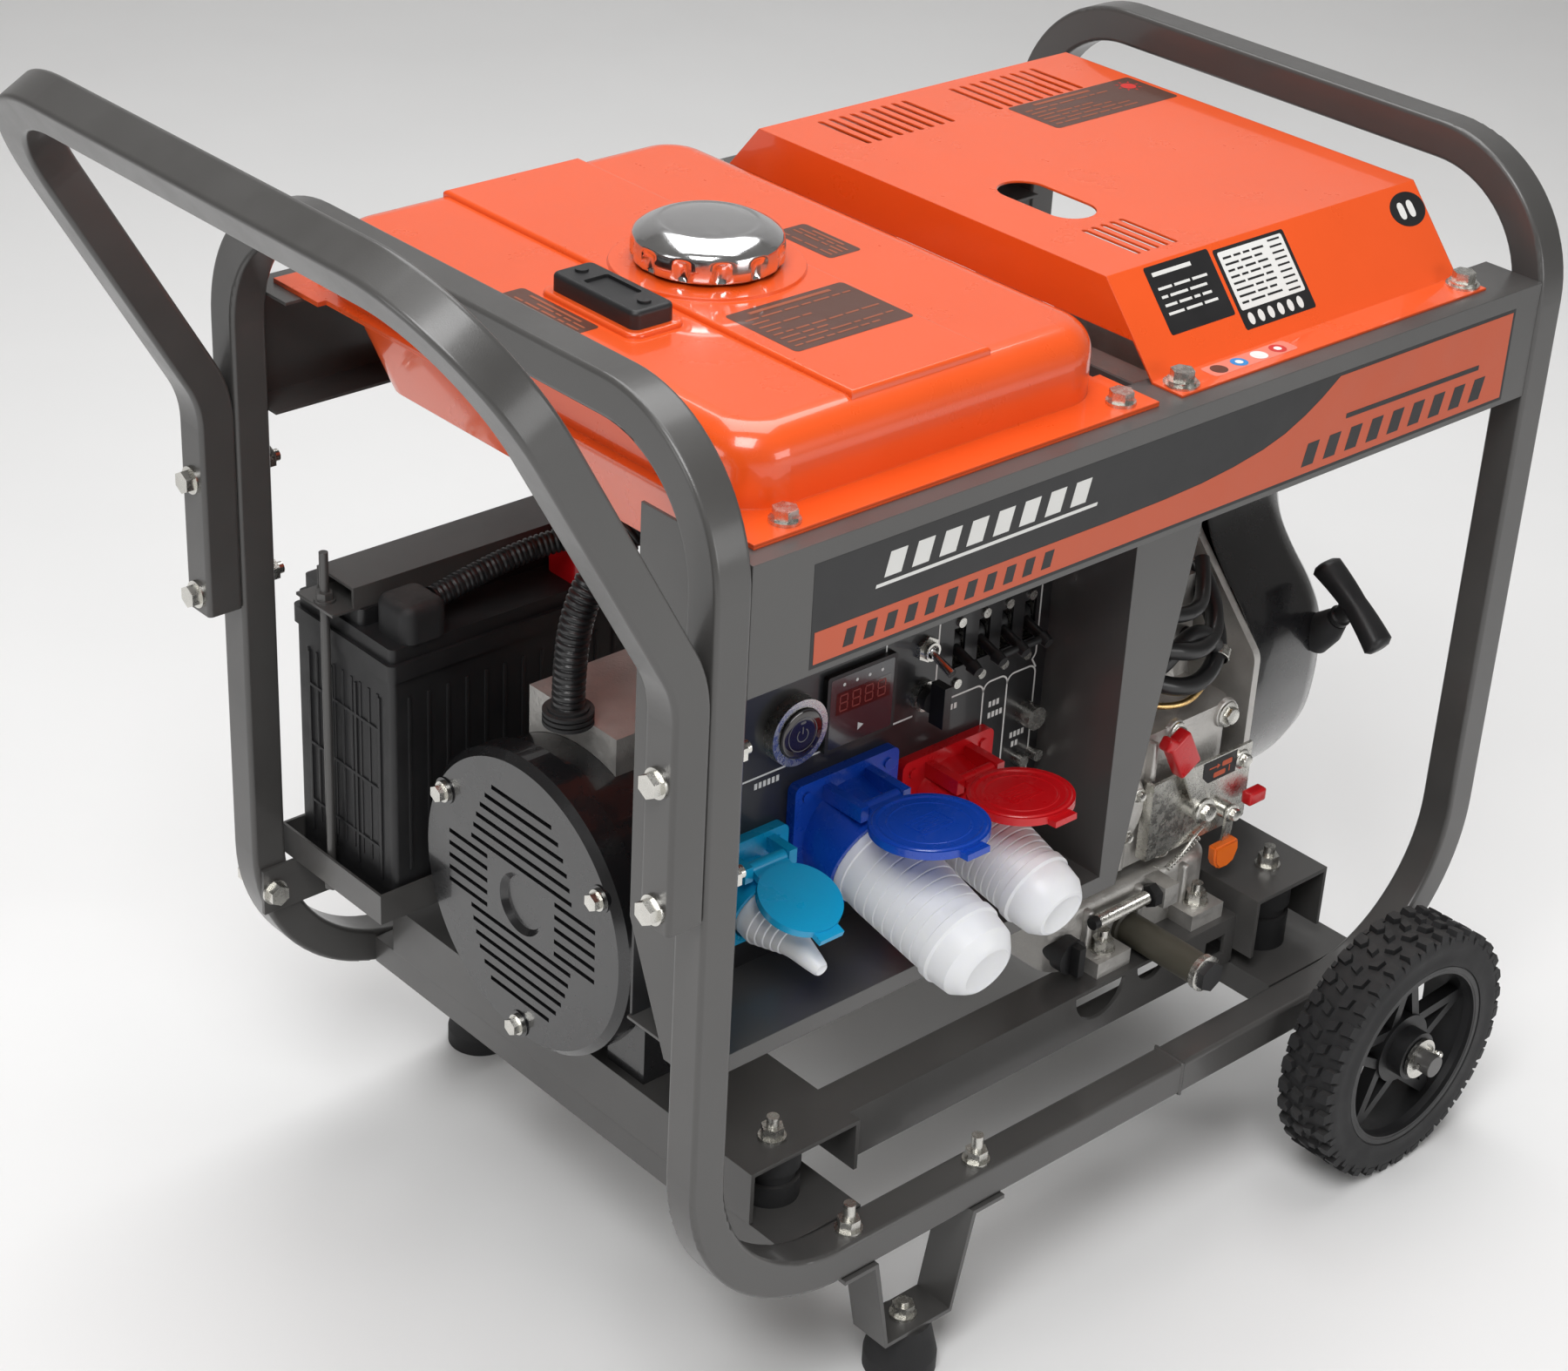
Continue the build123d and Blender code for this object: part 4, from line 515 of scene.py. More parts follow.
def tank_labels():
    for tag, (x0, x1, y0, y1), rows in (("wide", (148, 238, -128, -66), 8),
                                        ("gauge", (60, 86, -33, 38), 4),
                                        ("rear", (262, 288, -30, 22), 4)):
        drape("tank_label_" + tag, "tank_upper", [rrect(x0, y0, x1, y1, 3)],
              "print_dark", 0.10)
        bars = (text_rows(x0 + 5, x1 - 5, y0 + 4, y1 - 10, rows, 3 + rows)
                if x1 - x0 > y1 - y0 else
                swapped(text_rows(y0 + 4, y1 - 4, x0 + 3, x1 - 6, rows, 9)))
        drape("tank_label_print_" + tag, "tank_upper", bars, "print_light", 0.2)
        if x1 - x0 > y1 - y0:
            head = [[(x0 + 14, y1 - 7), (x1 - 14, y1 - 7), (x1 - 14, y1 - 4), (x0 + 14, y1 - 4)]]
        else:
            head = [[(x1 - 5, y0 + 12), (x1 - 3, y0 + 12), (x1 - 3, y1 - 12), (x1 - 5, y1 - 12)]]
        drape("tank_label_head_" + tag, "tank_upper", head, "print_light", 0.2)


def cover_labels():
    x0, x1, y0, y1 = 532, 650, 44, 92
    drape("cover_label", "top_cover", [rrect(x0, y0, x1, y1, 3)], "print_dark",
          0.10)
    bars = text_rows(x0 + 5, x1 - 34, y0 + 4, y1 - 10, 6, 21)
    bars += [[(x0 + 20, y1 - 7), (x1 - 44, y1 - 7), (x1 - 44, y1 - 4), (x0 + 20, y1 - 4)]]
    drape("cover_label_print", "top_cover", bars, "print_light", 0.2)
    sun = [circle(x1 - 14, y1 - 14, 5.5, 20)]
    for k in range(8):
        a = math.radians(45 * k)
        c, s = math.cos(a), math.sin(a)
        sun.append([(x1 - 14 + 7 * c - 0.9 * s, y1 - 14 + 7 * s + 0.9 * c),
                    (x1 - 14 + 7 * c + 0.9 * s, y1 - 14 + 7 * s - 0.9 * c),
                    (x1 - 14 + 10 * c, y1 - 14 + 10 * s)])
    drape("cover_label_mark", "top_cover", sun, "mark_red", 0.2)
    drape("slope_label_black", "top_cover", [rrect(397, -184.5, 454, -156, 1.5)],
          "decal_black", 0.10)
    drape("slope_label_lines", "top_cover",
          text_rows(402, 448, -178, -164, 4, 5, 1.1)
          + [[(402, -160.5), (436, -160.5), (436, -158.8), (402, -158.8)]],
          "print_white", 0.2, step=4)
    drape("slope_label_white", "top_cover", [rrect(457, -192, 522, -157.5, 1.5)],
          "decal_black", 0.10)
    drape("slope_label_white_field", "top_cover", [rrect(460, -184, 519, -159, 1.2)],
          "label_white", 0.2)
    drape("slope_label_white_lines", "top_cover",
          text_rows(463, 500, -182.5, -160.5, 8, 8, 0.9)
          + [[(505, -182.5 + 2.7 * k), (516, -182.5 + 2.7 * k), (516, -181.7 + 2.7 * k),
              (505, -181.7 + 2.7 * k)] for k in range(9)],
          "decal_black", 0.28, step=4)
    drape("slope_label_dots", "top_cover", [circle(465 + 9 * k, -188, 2.6, 18) for k in range(6)],
          "print_white", 0.2, step=4)
    drape("slope_oval", "top_cover", [circle(637, -165.6, 16.5, 40, 7.6)], "decal_black",
          0.10)
    bm = [rrect(628 + 9 * k, -169.5, 634 + 9 * k, -162, 2.5) for k in range(2)]
    drape("slope_oval_mark", "top_cover", bm, "print_white", 0.2, step=4)
    icons = [(414, "print_dark"), (432, "mark_blue"), (450, "print_white"), (467, "mark_red")]
    drape("edge_label", "top_cover", [rrect(404, -216, 479, -202, 3)], "print_pink",
          0.10)
    for k, (x, mt) in enumerate(icons):
        drape("edge_icon_%d" % k, "top_cover", [circle(x, -209, 5.6, 26)], mt,
              0.2, step=4)
    drape("edge_icon_centres", "top_cover",
          [circle(x, -209, 2.6, 18) for x, _ in icons[1:]], "label_white",
          0.28, step=4)


# ---------------------------------------------------------------- control panel
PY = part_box("panel_face")[0].y / MM        # front face of the panel


def strip(bm, pts, w, origin, u, v, n, t):
    """Line of width w along pts, mitred."""
    L, R = [], []
    for i, p in enumerate(pts):
        a = pts[max(0, i - 1)]
        b = pts[min(len(pts) - 1, i + 1)]
        d = Vector((b[0] - a[0], b[1] - a[1])).normalized()
        m = Vector((-d.y, d.x)) * (w / 2)
        L.append((p[0] + m.x, p[1] + m.y))
        R.append((p[0] - m.x, p[1] - m.y))
    for i in range(len(pts) - 1):
        add_prism(bm, [R[i], R[i + 1], L[i + 1], L[i]], origin, u, v, n, t)


def bend(cx, cy, r, a0, a1, seg=6):
    return [(cx + r * math.cos(math.radians(a0 + (a1 - a0) * i / seg)),
             cy + r * math.sin(math.radians(a0 + (a1 - a0) * i / seg))) for i in range(seg + 1)]


def panel_print():
    o = Vector((XS, PY * MM, 0))
    n = -Y
    bm = bmesh.new()
    lines = [
        [(60, 427)] + bend(216, 432, 5, 270, 360) + [(221, 535)],
        [(221, 436)] + bend(228, 431, 6, 180, 270) + [(247, 425)],
        [(265, 444), (265, 535)],
        [(272, 427)] + bend(302, 421, 6, 90, 0) + [(308, 330)],
        [(308, 421)] + bend(314, 421, 6, 180, 90) + bend(323, 421, 6, 90, 0) + [(329, 330)],
        [(329, 421)] + bend(335, 420, 6, 180, 90) + bend(348, 420, 6, 90, 0) + [(354, 340)],
        [(354, 424)] + bend(347, 436, 6, 300, 360) + [(353, 535)],
    ]
    for ln in lines:
        strip(bm, ln, 1.2, o, X, Z, n, 0.12)
    for x, z, k in ((276, 420, 3), (120, 421, 6), (314, 410, 3), (314, 402, 4), (336, 380, 4),
                    (338, 373, 2), (247, 489, 3)):
        for i in range(k):
            add_prism(bm, [(x + 3.4 * i, z - 2), (x + 2.2 + 3.4 * i, z - 2),
                           (x + 2.2 + 3.4 * i, z + 2), (x + 3.4 * i, z + 2)], o, X, Z, n, 0.12)
    from_bmesh("panel_lines", bm, "print_white", "machine")


def meter_face():
    lo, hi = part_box("digital_meter")
    x0, x1 = (lo.x - XS) / MM, (hi.x - XS) / MM
    z0, z1 = lo.z / MM, hi.z / MM
    o = Vector((XS, lo.y, 0))
    n = -Y
    prism_piece("meter_front_glass", rrect(x0 + 2.5, z0 + 2.5, x1 - 2.5, z1 - 2.5, 1.5),
                o, X, Z, n, 0.15, "meter_glass")
    o2 = o + n * (0.15 * MM)
    zc = (z0 + z1) / 2 + 6
    bm = bmesh.new()
    add_prism(bm, [(x0 + 7, zc - 7.5), (x1 - 5, zc - 7.5), (x1 - 5, zc + 7.5), (x0 + 7, zc + 7.5)],
              o2, X, Z, n, 0.1)
    from_bmesh("meter_window", bm, "glass_dark", "machine")
    bm = bmesh.new()
    o3 = o2 + n * (0.1 * MM)
    for k in range(4):
        cx = x0 + 13.2 + 10.2 * k
        w, h, t = 3.0, 5.2, 0.95
        segs = [(-w, h, w, h), (-w, 0, w, 0), (-w, -h, w, -h)]
        for a, b, c, d in segs:
            add_prism(bm, [(cx + a, zc + b - t / 2), (cx + c, zc + d - t / 2),
                           (cx + c, zc + d + t / 2), (cx + a, zc + b + t / 2)], o3, X, Z, n, 0.05)
        for a in (-w, w):
            for b in (-h + 0.6, 0.6):
                add_prism(bm, [(cx + a - t / 2, zc + b), (cx + a + t / 2, zc + b),
                               (cx + a + t / 2, zc + b + h - 1.2), (cx + a - t / 2, zc + b + h - 1.2)],
                          o3, X, Z, n, 0.05)
    from_bmesh("meter_digits", bm, "digit_red", "machine")
    bm = bmesh.new()
    for k in range(4):
        add_prism(bm, circle(x0 + 13 + 10.2 * k, zc + 12.2, 1.1, 14), o2, X, Z, n, 0.1)
    xm = (x0 + x1) / 2
    add_prism(bm, [(xm - 2, z0 + 9), (xm + 2.6, z0 + 11.6), (xm - 2, z0 + 14.2)],
              o2, X, Z, n, 0.1)
    from_bmesh("meter_marks", bm, "print_white", "machine")


def start_face():
    lo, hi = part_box("start_button")
    cx, cz = ((lo.x + hi.x) / 2 - XS) / MM, (lo.z + hi.z) / 2 / MM
    o = Vector((XS, lo.y, 0))
    n = -Y
    lathe("start_cap_dome", W(cx, lo.y / MM, cz), -Y,
          [(-2, 15.2), (0.1, 15.2), (0.5, 14.4), (0.6, 8), (0.62, 0.4)], "glass_dark",
          "start_push", 64)
    bm = bmesh.new()
    o2 = o + n * (0.66 * MM)
    add_frame(bm, circle(cx, cz, 11.2, 48), circle(cx, cz, 10.7, 48), o2, X, Z, n, 0.06)
    add_prism(bm, rrect(cx - 2, cz + 7, cx + 2, cz + 8.6, 0.7), o2, X, Z, n, 0.06)
    arc = bend(cx, cz - 0.5, 4.2, 125, 415, 24)
    strip(bm, arc, 0.7, o2, X, Z, n, 0.06)
    strip(bm, [(cx, cz + 0.4), (cx, cz + 5)], 0.8, o2, X, Z, n, 0.06)
    from_bmesh("start_symbol", bm, "print_grey", "start_push")


# ---------------------------------------------------------------- plugs and lids
TILT = math.radians(15.0)
OUT = Vector((0, -math.cos(TILT), -math.sin(TILT)))
UPW = Vector((0, -math.sin(TILT), math.cos(TILT)))
SOCK = {"blue": (189.0, 371.0), "red": (274.5, 359.0), "small": (112.0, 356.0)}


def sock(c, s, u=0.0):
    return W(c[0], PY, c[1]) + OUT * (s * MM) + UPW * (u * MM)


def plug_piece(tag, r, s0, s1, seat):
    prof = [(9, seat - 3), (10, seat - 0.6), (s0 - 0.6, seat - 0.6), (s0 + 0.2, r - 0.6)]
    end = s1 - 30
    n = 7
    for k in range(n):
        a = s0 + 12 + (end - s0 - 12) * k / n
        rr = r - 0.4 - 2.2 * (k / n)
        prof += [(a, rr), (a + 0.5, rr - 0.9), (a + 1.3, rr - 0.9), (a + 1.7, rr - 0.1)]
    prof += [(end, r - 2.8), (end + 1.0, r - 1.2), (end + 6.5, r - 1.2), (end + 8, r - 2.6),
             (end + 11, r - 2.8), (s1 - 9, r - 4.2), (s1 - 3, r * 0.70), (s1 - 0.6, r * 0.62),
             (s1, r * 0.55), (s1 - 1.5, r * 0.46), (s1 - 2.2, 2.0)]
    ob = lathe("plug_%s_shell" % tag, sock(SOCK[tag], 0), OUT, prof, "white_plastic",
               "plug_%s_body" % tag, 96)
    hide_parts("plug_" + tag)


def plug_small_piece():
    prof = [(9, 17), (10, 19.4), (29, 19.6)]
    for k in range(5):
        a = 31 + 4.6 * k
        r = 19.4 - 2.1 * k
        prof += [(a, r), (a + 0.5, r - 0.8), (a + 1.6, r - 1.0)]
    prof += [(55, 8.8), (58, 8.2), (70, 6.2), (75.5, 5.0), (77, 4.0), (76, 2.0)]
    ob = lathe("plug_small_shell", sock(SOCK["small"], 0), OUT, prof, "white_plastic",
               "plug_small_body", 72)
    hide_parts("plug_small")


def lid_detail(tag, hinge, r, tilt, mat):
    """Raised rings and a plain raised plate on a socket lid."""
    a = math.radians(tilt)
    d = Vector((0, -math.cos(a), math.sin(a)))
    n = Vector((0, math.sin(a), math.cos(a)))
    hy = sock(SOCK[tag], hinge[0], hinge[1])
    cen = hy + d * ((r + 6) * MM) + n * (3.5 * MM)
    prof = [(-0.4, r - 1.4), (0.0, r - 1.6), (0.7, r - 2.6), (0.8, r - 4.4), (0.1, r - 5.6),
            (-0.2, r - 7), (-0.2, r * 0.72), (0.3, r * 0.70), (0.35, r * 0.67), (-0.1, r * 0.65),
            (-0.2, r * 0.6)]
    lathe("lid_%s_rim" % tag, cen, n, prof, mat, "lid_" + tag, 96, cap=False)
    u, v = X, d
    bm = bmesh.new()
    k = r / 36.0
    add_frame(bm, rrect(-13 * k, -9 * k, 13 * k, 9 * k, 1), rrect(-12.2 * k, -8.2 * k, 12.2 * k,
              8.2 * k, 0.6), cen - n * (0.1 * MM), u, v, n, 0.45)
    for i in range(4):
        z = 5.5 * k - 3.6 * k * i
        add_prism(bm, [(-10 * k, z - 0.5), ((9 - 2 * (i % 2)) * k, z - 0.5),
                       ((9 - 2 * (i % 2)) * k, z + 0.5), (-10 * k, z + 0.5)],
                  cen - n * (0.1 * MM), u, v, n, 0.4)
    from_bmesh("lid_%s_plate" % tag, bm, mat, "lid_" + tag)


# ---------------------------------------------------------------- looms and hoses
def looms():
    pts = [W(92, -2, 420), W(92, -2, 458), W(100, -4, 496), W(120, -10, 528), W(154, -24, 550),
           W(190, -60, 554), W(200, -100, 554), W(202, -137, 552)]
    ob = tube("alternator_conduit", pts, 10.4, "conduit", "machine",
              0.0005, 28, (4.4, 1.5))
    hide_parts("alternator_loom")
    pts = [W(89, 133, 439), W(127, 134, 446), W(172, 125, 457), W(218, 103, 463),
           W(260, 81, 457), W(298, 63, 431)]
    ob = tube("battery_conduit", pts, 7.9, "conduit", "machine",
              0.0005, 28, (3.8, 1.2))
    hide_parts("battery_loom")


def red_boot():
    x, y, z = 208.0, 133.0, 422.0
    bm = bmesh.new()
    rings = [(-0.6, 0.0), (0.2, 0.2), (0.4, 10.0), (-0.8, 12.4), (-3.2, 13.6), (-6.5, 14.0)]
    rows = []
    for g, h in rings:
        pts = rrect(-17 - g, -19 - g, 17 + g, 17 + g, 8, 8)
        rows.append([bm.verts.new(W(x + p[0], y + p[1], z + 12 * 0 + h * 1.82)) for p in pts])
    skin(bm, rows)
    bm.faces.new(rows[0][::-1])
    bm.faces.new(rows[-1])
    from_bmesh("terminal_boot_red", bm, "red_plastic")


tank_labels()
cover_labels()
panel_print()
meter_face()
start_face()
plug_piece("blue", 30, 40, 138, 30.7)
plug_piece("red", 27, 36, 116, 27.7)
plug_small_piece()
lid_detail("blue", (26, 40), 36, 4, "blue_plastic")
lid_detail("red", (22, 36), 33, 4, "red_plastic")
looms()
red_boot()


# ---------------------------------------------------------------- filler cap
def filler_cap():
    lo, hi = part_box("fuel_cap")
    c = Vector(((lo.x + hi.x) / 2, 0, lo.z))
    h = (hi.z - lo.z) / MM
    r = (hi.x - lo.x) / 2 / MM
    rows_spec = [(0.0, r - 3.2, 0.0), (0.4, r - 2.0, 0.25), (1.6, r - 1.0, 0.7), (3.5, r - 0.4, 1.0),
                 (8.5, r - 0.4, 1.0), (10.8, r - 0.6, 0.85), (12.6, r - 0.8, 0.35),
                 (14.0, r - 1.0, 0.05), (15.6, r - 1.4, 0.0), (17.4, r - 3.0, 0.0),
                 (20.0, r - 7.0, 0.0), (22.2, r - 11.5, 0.0), (23.4, r - 15.0, 0.0),
                 (23.6, r - 16.2, 0.0), (23.2, r - 17.0, 0.0), (23.4, r - 18.0, 0.0),
                 (h - 0.6, r - 26.0, 0.0), (h - 0.2, r - 36.0, 0.0), (h - 0.1, 1.0, 0.0)]
    seg = 144
    bm = bmesh.new()
    rows = []
    for s, rr, k in rows_spec:
        ring = []
        for i in range(seg):
            a = 2 * math.pi * i / seg
            w = max(0.0, math.cos(12 * a))
            ring.append(bm.verts.new(c + Vector((math.cos(a), math.sin(a), 0))
                                     * ((rr - 4.2 * k * w ** 0.8) * MM) + Z * (s * MM)))
        rows.append(ring)
    skin(bm, rows)
    bm.faces.new(rows[-1])
    ob = from_bmesh("filler_cap_chrome", bm, "chrome", "filler_cap", 50.0)
    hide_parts("fuel_cap")


# ---------------------------------------------------------------- fan housing and starter
CRANK = 290.0


def housing_outline(g):
    """Rounded fan housing outline in working y and z, grown by g."""
    base = [(0, 201), (45, 201.6), (84, 213), (113, 240), (131, 272), (137.2, 305), (137.6, 335),
            (134, 358), (121, 380), (101, 402), (86, 422), (77.5, 444), (73.6, 470), (72, 500),
            (72, 530), (70, 545), (62, 551.5), (40, 552), (0, 552)]
    left = [(-y, z) for y, z in base[::-1][1:-1]]
    loop = base + left
    cy, cz = 0.0, 340.0
    out = []
    for y, z in loop:
        d = math.hypot(y - cy, z - cz)
        k = (d + g) / d
        out.append((cy + (y - cy) * k, cz + (z - cz) * k))
    return out


def smooth_loop(pts, n=160):
    """Closed Catmull-Rom resample."""
    k = len(pts)
    out = []
    for i in range(n):
        t = i * k / n
        j = int(t)
        f = t - j
        p0, p1, p2, p3 = (np.array(pts[(j + q) % k]) for q in (-1, 0, 1, 2))
        out.append(tuple(0.5 * (2 * p1 + (p2 - p0) * f + (2 * p0 - 5 * p1 + 4 * p2 - p3) * f * f
                                + (3 * p1 - p0 - 3 * p2 + p3) * f ** 3)))
    return out


def fan_housing():
    """Rounded sheet housing with the recoil dome, rim bolts, and painted shade in the slots: dark
    patches on the recess instead of openings.
    """
    x0 = (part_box("flywheel_shroud")[0].x - XS) / MM
    x1 = (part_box("flywheel_shroud")[1].x - XS) / MM
    xf = x1 - 16.0
    bm = bmesh.new()
    rows = []
    for x, g in ((x0, -1.5), (x0, 0), (x0 + 3, 0), (x0 + 5, -3.0), (x0 + 12, -3.4), (xf - 26, -6),
                 (xf - 12, -10), (xf - 4, -17), (xf, -27), (xf + 0.5, -40)):
        pts = smooth_loop(housing_outline(g))
        rows.append([bm.verts.new(W(x, p[0], p[1])) for p in pts])
    cz = CRANK + 10
    for x, r in ((xf + 0.6, 88), (xf + 3, 84), (xf + 9, 80), (xf + 13, 76), (x1 - 0.5, 70),
                 (x1 - 0.2, 62), (x1 - 1.5, 60), (x1 - 1.5, 30), (x1 - 0.4, 28), (x1 - 0.2, 5)):
        ring = []
        for p in smooth_loop(housing_outline(-40)):
            d = Vector((p[0], p[1] - cz)).normalized()
            ring.append(bm.verts.new(W(x, d.x * r, cz + d.y * r)))
        rows.append(ring)
    skin(bm, rows)
    bm.faces.new(rows[-1])
    ob = from_bmesh("fan_housing_sheet", bm, "black_paint", "machine", 40.0)
    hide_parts("flywheel_shroud")
    # The air slots are matte black patches on the recessed ring. They are painted shade standing in
    # for the openings, not holes.
    slot_in, slot_out = 34, 54
    for k in range(10):
        a = 2 * math.pi * k / 10 + 0.2
        bm = bmesh.new()
        d = Vector((math.cos(a), math.sin(a)))
        t = Vector((-d.y, d.x))
        pts = [d * slot_in - t * 4, d * slot_out - t * 7, d * slot_out + t * 7, d * slot_in + t * 4]
        add_prism(bm, [(p.x, cz + p.y) for p in pts], W(x1 - 1.4, 0, 0), Y, Z, X, 0.6)
        from_bmesh("fan_slot_%d" % k, bm, "decal_black", "machine")
    for y, z in ((126, 262), (130, 330), (98, 392), (66, 470), (-126, 262), (-130, 330), (-98, 392),
                 (-66, 470)):
        bolt("housing_bolt_%d_%d" % (int(y) + 200, int(z)), W(x0 + 3.4, y * 0.985, z), X, 5.0, 4.0)


def bolt(name, at, axis, r, h, mat="zinc", body="machine", flange=True):
    """Flanged hexagon head with chamfered top and a shallow crown."""
    axis = Vector(axis).normalized()
    side = axis.orthogonal().normalized()
    up = axis.cross(side)
    bm = bmesh.new()

    def ring(s, rad, hexed):
        out = []
        for i in range(24):
            a = 2 * math.pi * i / 24
            rr = rad
            if hexed:
                m = (a % (math.pi / 3)) - math.pi / 6
                rr = rad * math.cos(math.pi / 6) / math.cos(m)
            out.append(bm.verts.new(at + axis * (s * MM) + (side * math.cos(a) + up * math.sin(a))
                                    * (rr * MM)))
        return out
    rows = []
    if flange:
        rows += [ring(0, r * 1.45, False), ring(h * 0.18, r * 1.45, False),
                 ring(h * 0.28, r * 1.22, False)]
    else:
        rows += [ring(0, r, True)]
    rows += [ring(h * 0.30, r, True), ring(h * 0.9, r, True), ring(h, r * 0.86, False),
             ring(h * 0.94, r * 0.70, False), ring(h * 0.94, r * 0.1, False)]
    skin(bm, rows)
    bm.faces.new(rows[0][::-1])
    bm.faces.new(rows[-1])
    return from_bmesh(name, bm, mat, body, 30.0)


def recoil_grip():
    pull = Vector((0, -0.6, 0.8))
    bar = Vector((0, -0.8, -0.6))
    at = W(660, -127, 340)
    c = at + pull * (46 * MM)
    bm = bmesh.new()
    rows = []
    n = 26
    for i in range(n + 1):
        t = -1 + 2 * i / n
        s = 35.5 * t
        bow = -6.0 * (1 - t * t) + 3.0
        w = 10.8 - 2.4 * (1 - abs(t)) + (0 if abs(t) < 0.93 else -3.0 * (abs(t) - 0.93) / 0.07)
        h = 9.0 - 1.6 * (1 - abs(t)) + (0 if abs(t) < 0.93 else -3.5 * (abs(t) - 0.93) / 0.07)
        cen = c + bar * (s * MM) - pull * (bow * 0.5 * MM)
        rows.append([bm.verts.new(cen + X * (w * MM * math.copysign(abs(math.cos(a)) ** 0.7,
                     math.cos(a))) + pull * (h * MM * math.copysign(abs(math.sin(a)) ** 0.7,
                     math.sin(a))))
                     for a in [2 * math.pi * k / 28 for k in range(28)]])
    skin(bm, rows)
    bm.faces.new(rows[0][::-1])
    bm.faces.new(rows[-1])
    grip = from_bmesh("recoil_grip_bar", bm, "black_plastic", "recoil_grip", 60.0)
    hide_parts("recoil_handle")
    lathe("recoil_grip_stem", at, pull, [(26.8, 6.0), (27.2, 8.0), (31, 8.2), (32, 6.6), (35, 6.4),
          (38, 7.4), (43, 8.0)], "black_plastic", "recoil_grip", 40)
    lathe("recoil_rope", at, pull, [(-138, 2.6), (-137, 2.9), (28, 2.9)], "rope",
          "recoil_grip", 24)
    lathe("recoil_rope_guide", at, pull, [(-2, 12.5), (14, 12.5), (18, 11.2), (24.5, 9.2),
          (26.0, 8.0), (26.0, 4.2), (10, 4.0)], "rubber", "machine", 48, cap=False)


# ---------------------------------------------------------------- tyres
def tyre_piece(tag, s):
    lo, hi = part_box("tyre_" + tag)
    c = Vector(((lo.x + hi.x) / 2, 0, (lo.z + hi.z) / 2))
    r = (hi.x - lo.x) / 2 / MM
    y0 = lo.y / MM if s > 0 else hi.y / MM
    w = (hi.y - lo.y) / MM
    seg = 180
    prof = [(0.0, r - 25.6), (0.2, r - 22), (0.9, r - 20), (0.9, r - 14), (0.3, r - 10),
            (1.4, r - 6.5), (4.5, r - 4.6), (9, r - 4.2), (w / 2, r - 4.0), (w - 9, r - 4.2),
            (w - 4.5, r - 4.6), (w - 1.4, r - 6.5), (w - 0.3, r - 10), (w - 0.9, r - 14),
            (w - 0.9, r - 20), (w - 0.2, r - 22), (w, r - 25.6), (w - 1.0, r - 25.9),
            (1.0, r - 25.9)]
    bm = bmesh.new()
    rows = []
    for yy, rr in prof:
        rows.append([bm.verts.new(Vector((c.x + math.cos(2 * math.pi * i / seg) * rr * MM,
                                          (y0 + s * yy) * MM,
                                          c.z + math.sin(2 * math.pi * i / seg) * rr * MM)))
                     for i in range(seg)])
    skin(bm, rows + rows[:1])

    def block(pts, r0, r1, shrink=0.82):
        lowv, topv = [], []
        my = sum(p[0] for p in pts) / len(pts)
        ma = sum(p[1] for p in pts) / len(pts)
        for yy, aa in pts:
            for rr, dest, k in ((r0, lowv, 1.0), (r1, topv, shrink)):
                y2 = my + (yy - my) * k
                a2 = ma + (aa - ma) * k
                dest.append(bm.verts.new(Vector((c.x + math.cos(a2) * rr * MM,
                                                 (y0 + s * y2) * MM,
                                                 c.z + math.sin(a2) * rr * MM))))
        k = len(pts)
        bm.faces.new(topv)
        for i in range(k):
            bm.faces.new((lowv[i], lowv[(i + 1) % k], topv[(i + 1) % k], topv[i]))
    n = 34
    p = 2 * math.pi / n
    for i in range(n):
        a = i * p
        for side in (0, 1):
            def yv(v):
                return v if side == 0 else w - v
            off = 0.5 * p * side
            block([(yv(1.2), a + off), (yv(1.2), a + off + 0.52 * p), (yv(10), a + off + 0.62 * p),
                   (yv(12.5), a + off + 0.30 * p), (yv(9.5), a + off + 0.02 * p)], r - 6.4, r - 0.2)
            block([(yv(13.5), a + off + 0.10 * p), (yv(14.5), a + off + 0.58 * p),
                   (yv(21.5), a + off + 0.72 * p), (yv(22.0), a + off + 0.30 * p)], r - 5, r - 0.05)
            block([(yv(0.5), a + off + 0.60 * p), (yv(0.5), a + off + 0.92 * p),
                   (yv(4.0), a + off + 0.9 * p), (yv(4.0), a + off + 0.62 * p)], r - 9.5, r - 3.6)
    ob = from_bmesh("tyre_tread_" + tag, bm, "tyre", "wheel_" + tag, 28.0)
    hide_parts("tyre_" + tag)
    x = (c.x - XS) / MM
    lathe("wheel_cap_" + tag, W(x, y0 + s * (w - 0.6), c.z / MM), Y * s,
          [(-1, 17.6), (0.4, 17.6), (0.9, 16.4), (0.9, 12.5), (0.2, 12.0), (0.2, 8.4)],
          "black_plastic", "wheel_" + tag, 56, cap=False)
    lathe("wheel_lip_" + tag, W(x, y0 + s * (w - 1.4), c.z / MM), Y * s,
          [(-8, 63.0), (0.0, 64.6), (0.9, 66.0), (0.9, 69.2), (0.2, 70.0), (-3, 70.0)],
          "black_plastic", "wheel_" + tag, 96, cap=False)


# ---------------------------------------------------------------- engine dressing
def soft_box(name, x0, x1, y0, y1, z0, z1, bev, mat, body="machine", segs=3,
             rot=None):
    bm = bmesh.new()
    bmesh.ops.create_cube(bm, size=1)
    c = Vector(((x0 + x1) / 2, (y0 + y1) / 2, (z0 + z1) / 2))
    bmesh.ops.scale(bm, vec=Vector((x1 - x0, y1 - y0, z1 - z0)), verts=bm.verts)
    bmesh.ops.bevel(bm, geom=bm.edges[:] + bm.verts[:], offset=bev, segments=segs, profile=0.6,
                    affect="EDGES")
    for v in bm.verts:
        p = v.co
        if rot is not None:
            p = rot @ p
        v.co = W(c.x + p.x, c.y + p.y, c.z + p.z)
    return from_bmesh(name, bm, mat, body, 40.0)


